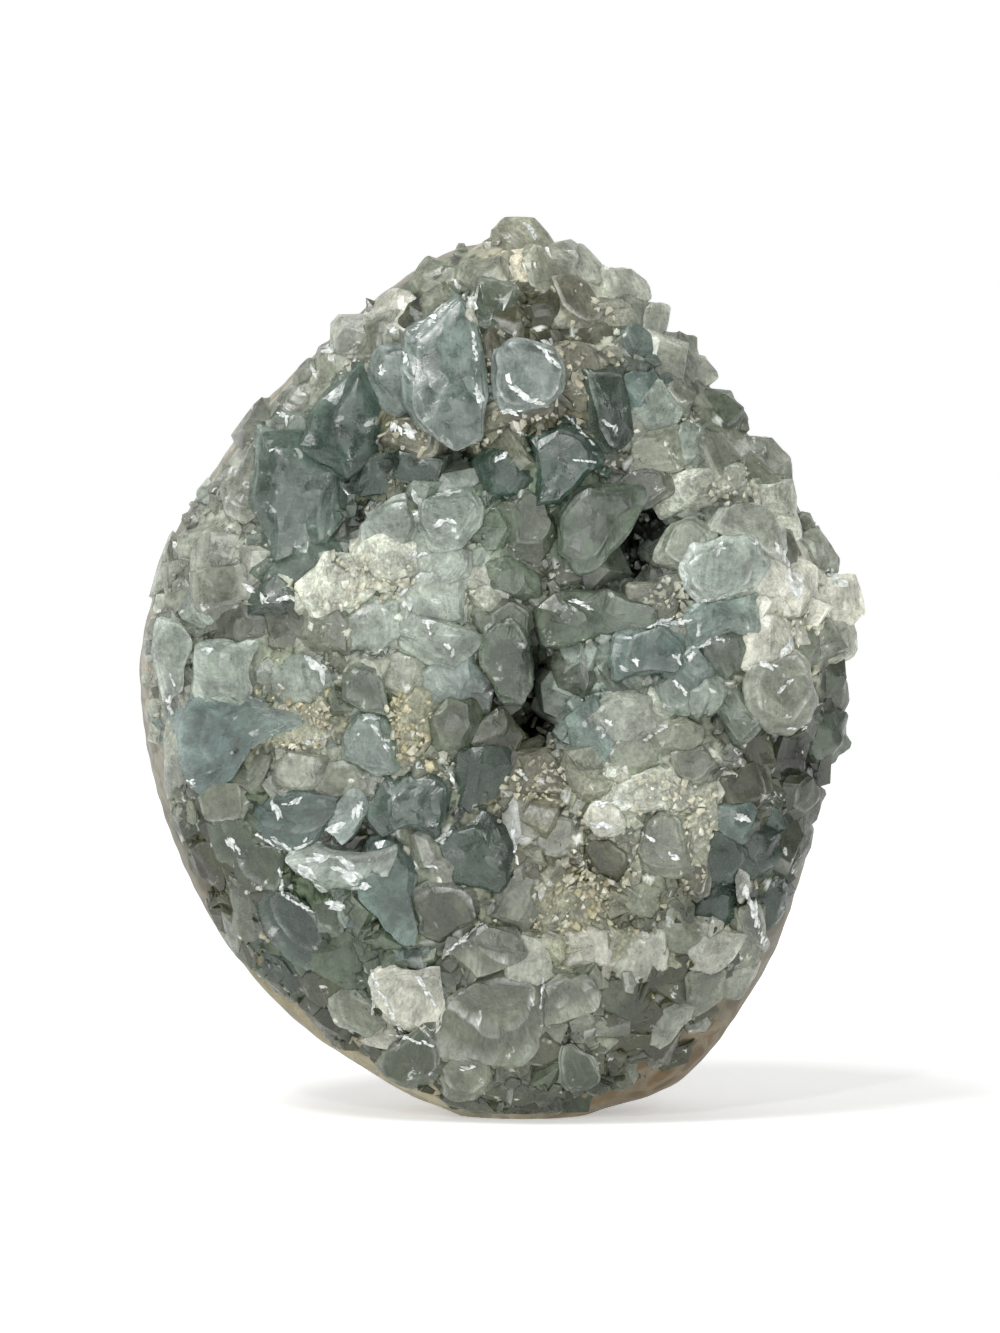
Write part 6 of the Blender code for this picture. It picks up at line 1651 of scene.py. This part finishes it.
def ground_stone_material():
    """Matrix stone ground smooth and left unpolished: a mosaic of cut crystals in grey-beige rock.

    The cells are the crystals that the grinding cut through, about 4 mm across, with pale joints and dark
    gaps in them. They fade towards the back. Thin brown streaks lie over the rim, and brown blots about 9
    mm across over all of it.
    """
    material, tree, shader = new_material("ground celestite matrix")
    tone = add_node(tree, "Attribute", {"attribute_name": "tone"}, {})["Color"]
    along = add_node(tree, "Attribute", {"attribute_name": "along"}, {})["Vector"]
    place = add_node(tree, "TexCoord", {}, {})["Object"]
    # Cells of the mosaic, with wavy limits
    stir = add_node(tree, "TexNoise", {"Scale": 260.0, "Detail": 3.0}, {"Vector": place})["Color"]
    moved = add_node(tree, "MixRGB", {"blend_type": "LINEAR_LIGHT", "Fac": 0.003},
                     {1: place, 2: stir})["Color"]
    cells = add_node(tree, "TexVoronoi", {"Scale": 270.0}, {"Vector": moved})["Color"]
    joints = add_node(tree, "TexVoronoi", {"feature": "DISTANCE_TO_EDGE", "Scale": 270.0},
                      {"Vector": moved})["Distance"]
    shade = add_node(tree, "SeparateColor", {}, {"Color": cells})["Red"]
    back = add_node(tree, "SeparateXYZ", {}, {"Vector": place})["Y"]
    near = add_node(tree, "MapRange",
                    {"From Min": -3 * MM, "From Max": 8 * MM, "To Min": 1.0, "To Max": 0.2},
                    {"Value": back})["Result"]
    uneven = add_node(tree, "MapRange", {"To Min": -0.26, "To Max": 0.2}, {"Value": shade})["Result"]
    each = add_node(tree, "Math", {"operation": "MULTIPLY_ADD", 2: 1.0}, {0: uneven, 1: near})["Value"]
    stone = add_node(tree, "VectorMath", {"operation": "SCALE"}, {0: tone, "Scale": each})["Vector"]
    # Pale joints, and narrower dark gaps in them
    line = add_node(tree, "MapRange", {"From Min": 0.05, "From Max": 0.2, "To Min": 0.2, "To Max": 0.0},
                    {"Value": joints})["Result"]
    line = add_node(tree, "Math", {"operation": "MULTIPLY"}, {0: line, 1: near})["Value"]
    jointed = add_node(tree, "MixRGB", {2: opaque("#b5b2a2")}, {"Fac": line, 1: stone})["Color"]
    gap = add_node(tree, "MapRange", {"From Min": 0.02, "From Max": 0.06, "To Min": 0.3, "To Max": 0.0},
                   {"Value": joints})["Result"]
    gap = add_node(tree, "Math", {"operation": "MULTIPLY"}, {0: gap, 1: near})["Value"]
    gapped = add_node(tree, "MixRGB", {2: opaque("#4a4638")}, {"Fac": gap, 1: jointed})["Color"]
    # Brown streaks near the rim: about 1 mm wide, along the way that the stone was ground
    long = add_node(tree, "Mapping", {"Scale": (0.1, 0.9, 1.0)}, {"Vector": along})["Vector"]
    bands = add_node(tree, "TexNoise", {"Scale": 1.0, "Detail": 5.0, "Roughness": 0.65},
                     {"Vector": long})["Fac"]
    stain = add_node(tree, "MapRange", {"From Min": 0.5, "From Max": 0.64, "To Max": 0.55},
                     {"Value": bands})["Result"]
    by_rim = add_node(tree, "MapRange",
                      {"From Min": 4 * MM, "From Max": 15 * MM, "To Min": 1.0, "To Max": 0.0},
                      {"Value": back})["Result"]
    stain = add_node(tree, "Math", {"operation": "MULTIPLY"}, {0: stain, 1: by_rim})["Value"]
    stained = add_node(tree, "MixRGB", {2: opaque("#6b5a38")}, {"Fac": stain, 1: gapped})["Color"]
    # Blots
    blots = add_node(tree, "TexNoise", {"Scale": 110.0, "Detail": 6.0, "Roughness": 0.7},
                     {"Vector": place})["Fac"]
    blot = add_node(tree, "MapRange", {"From Min": 0.54, "From Max": 0.68, "To Max": 0.45},
                    {"Value": blots})["Result"]
    stained = add_node(tree, "MixRGB", {2: opaque("#75664a")}, {"Fac": blot, 1: stained})["Color"]
    # Grit 1.4 mm across, and broad light and dark, 13 mm across
    grit = add_node(tree, "TexNoise", {"Scale": 700.0, "Detail": 5.0, "Roughness": 0.7},
                    {"Vector": place})["Fac"]
    depth = add_node(tree, "MapRange", {"From Min": 0.3, "From Max": 0.7, "To Min": 0.75, "To Max": 1.25},
                     {"Value": grit})["Result"]
    broad = add_node(tree, "TexNoise", {"Scale": 75.0, "Detail": 4.0, "Roughness": 0.6},
                     {"Vector": place})["Fac"]
    cloud = add_node(tree, "MapRange",
                     {"From Min": 0.35, "From Max": 0.65, "To Min": 0.8, "To Max": 1.15},
                     {"Value": broad})["Result"]
    depth = add_node(tree, "Math", {"operation": "MULTIPLY"}, {0: cloud, 1: depth})["Value"]
    colour = add_node(tree, "VectorMath", {"operation": "SCALE"}, {0: stained, "Scale": depth})["Vector"]
    bump = add_node(tree, "Bump", {"Strength": 0.3, "Distance": 0.2 * MM}, {"Height": grit})["Normal"]
    set_node(tree, shader, {"Roughness": 0.55, "IOR": 1.55}, {"Base Color": colour, "Normal": bump})
    return material


# Studio

def studio():
    """White paper that sweeps up behind, soft light from the upper left, and small bright lights.

    The paper's side view is level, then a quarter of a circle, then a wall.
    """
    steps = np.linspace(0, 1, SWEEP_STEPS)
    bend = np.clip((steps - BEND_FROM) / BEND_TAKES, 0, 1) * math.pi / 2
    level = -SWEEP_SPAN + steps / BEND_FROM * 1.5 * SWEEP_SPAN
    depth = np.where(steps < BEND_FROM, level, 0.5 * SWEEP_SPAN + BEND_RADIUS * np.sin(bend))
    height = np.where(steps < BEND_FROM, 0.0, BEND_RADIUS * (1 - np.cos(bend)))
    height = height + np.maximum(0, steps - BEND_FROM - BEND_TAKES) * WALL_HEIGHT
    ends = (-SWEEP_SPAN * 1.5, SWEEP_SPAN * 1.5)
    sides = [np.stack((np.full(SWEEP_STEPS, x), depth, height), axis=1) for x in ends]
    points = np.stack(sides, axis=1).reshape(-1, 3)
    mesh = bpy.data.meshes.new("studio_sweep")
    mesh.from_pydata((points * MM).tolist(), [], grid_faces(SWEEP_STEPS, 2, False).tolist())
    sweep = bpy.data.objects.new("studio_sweep", mesh)
    bpy.context.scene.collection.objects.link(sweep)
    material, tree, shader = new_material("white paper")
    looks = {"Base Color": (PAPER, PAPER, PAPER, 1), "Roughness": 0.9, "Emission Color": (1, 1, 1, 1),
             "Emission Strength": PAPER_GLOW}
    set_node(tree, shader, looks, {})
    mesh.materials.append(material)
    world = bpy.data.worlds.new("soft_room")
    world.use_nodes = True
    room = {"Color": (1.0, 1.0, 1.0, 1), "Strength": ROOM_LIGHT}
    set_node(world.node_tree, world.node_tree.nodes["Background"], room, {})
    bpy.context.scene.world = world
    for name, place, size, power in LIGHTS:
        light = bpy.data.lights.new(name, "AREA")
        light.size = size * MM
        light.energy = power
        aim_at_middle(bpy.data.objects.new(name, light), place)


def aim_at_middle(thing, place):
    """Puts a light or the camera at this place and points it at the middle of the frame."""
    thing.matrix_world = look_matrix(np.array(place, float), np.array((0.0, WIDEST_Y, FRAME_MIDDLE_Z)))
    bpy.context.scene.collection.objects.link(thing)


def look_matrix(place, target):
    """World matrix that looks from place to target with +Z up: its axes are right, up and backwards."""
    back = unit(place - target)
    right = unit(np.cross((0.0, 0.0, 1.0), back))
    up = np.cross(back, right)
    rows = np.eye(4)
    rows[:3, 0], rows[:3, 1], rows[:3, 2], rows[:3, 3] = right, up, back, place * MM
    return Matrix(rows.tolist())


def camera():
    """A long lens, nearly level, whose frame is 100 by 133.3 mm at the stone's widest plane."""
    lens = bpy.data.cameras.new("camera")
    lens.sensor_fit = "VERTICAL"
    lens.sensor_height = SENSOR
    lens.lens = SENSOR * CAMERA_DISTANCE / FRAME_HEIGHT
    lens.clip_end = CLIP_END_M
    shooter = bpy.data.objects.new("camera", lens)
    tilt = math.radians(CAMERA_ELEVATION)
    away = CAMERA_DISTANCE * math.cos(tilt)
    rise = CAMERA_DISTANCE * math.sin(tilt)
    aim_at_middle(shooter, (0.0, WIDEST_Y - away, FRAME_MIDDLE_Z + rise))
    bpy.context.scene.camera = shooter


def main():
    """Builds the geode, its room and its camera."""
    bpy.context.scene.view_settings.view_transform = "Standard"
    ground_stone(ground_stone_material())
    druse = druse_material("sugary druse")
    crystal_bed(druse)
    lots = small_crystals(main_crystals())
    clear = crystal_material("clear celestite", 0.5, 0.12, 0.3, 0.16, "#98aca5")
    cloudy = crystal_material("cloudy celestite", 0.15, 0.2, 0.3, 0.22, None)
    milky = crystal_material("milky celestite", 0.05, 0.35, 0.3, 0.4, None)
    crystals = [
        join_heads("clear_crystals", lots["clear"], clear),
        join_heads("cloudy_crystals", lots["cloudy"], cloudy),
        join_heads("milky_crystals", lots["milky"], milky),
        druse_grains(druse),
    ]
    glint_flakes(crystals, glint_material())
    studio()
    camera()


main()
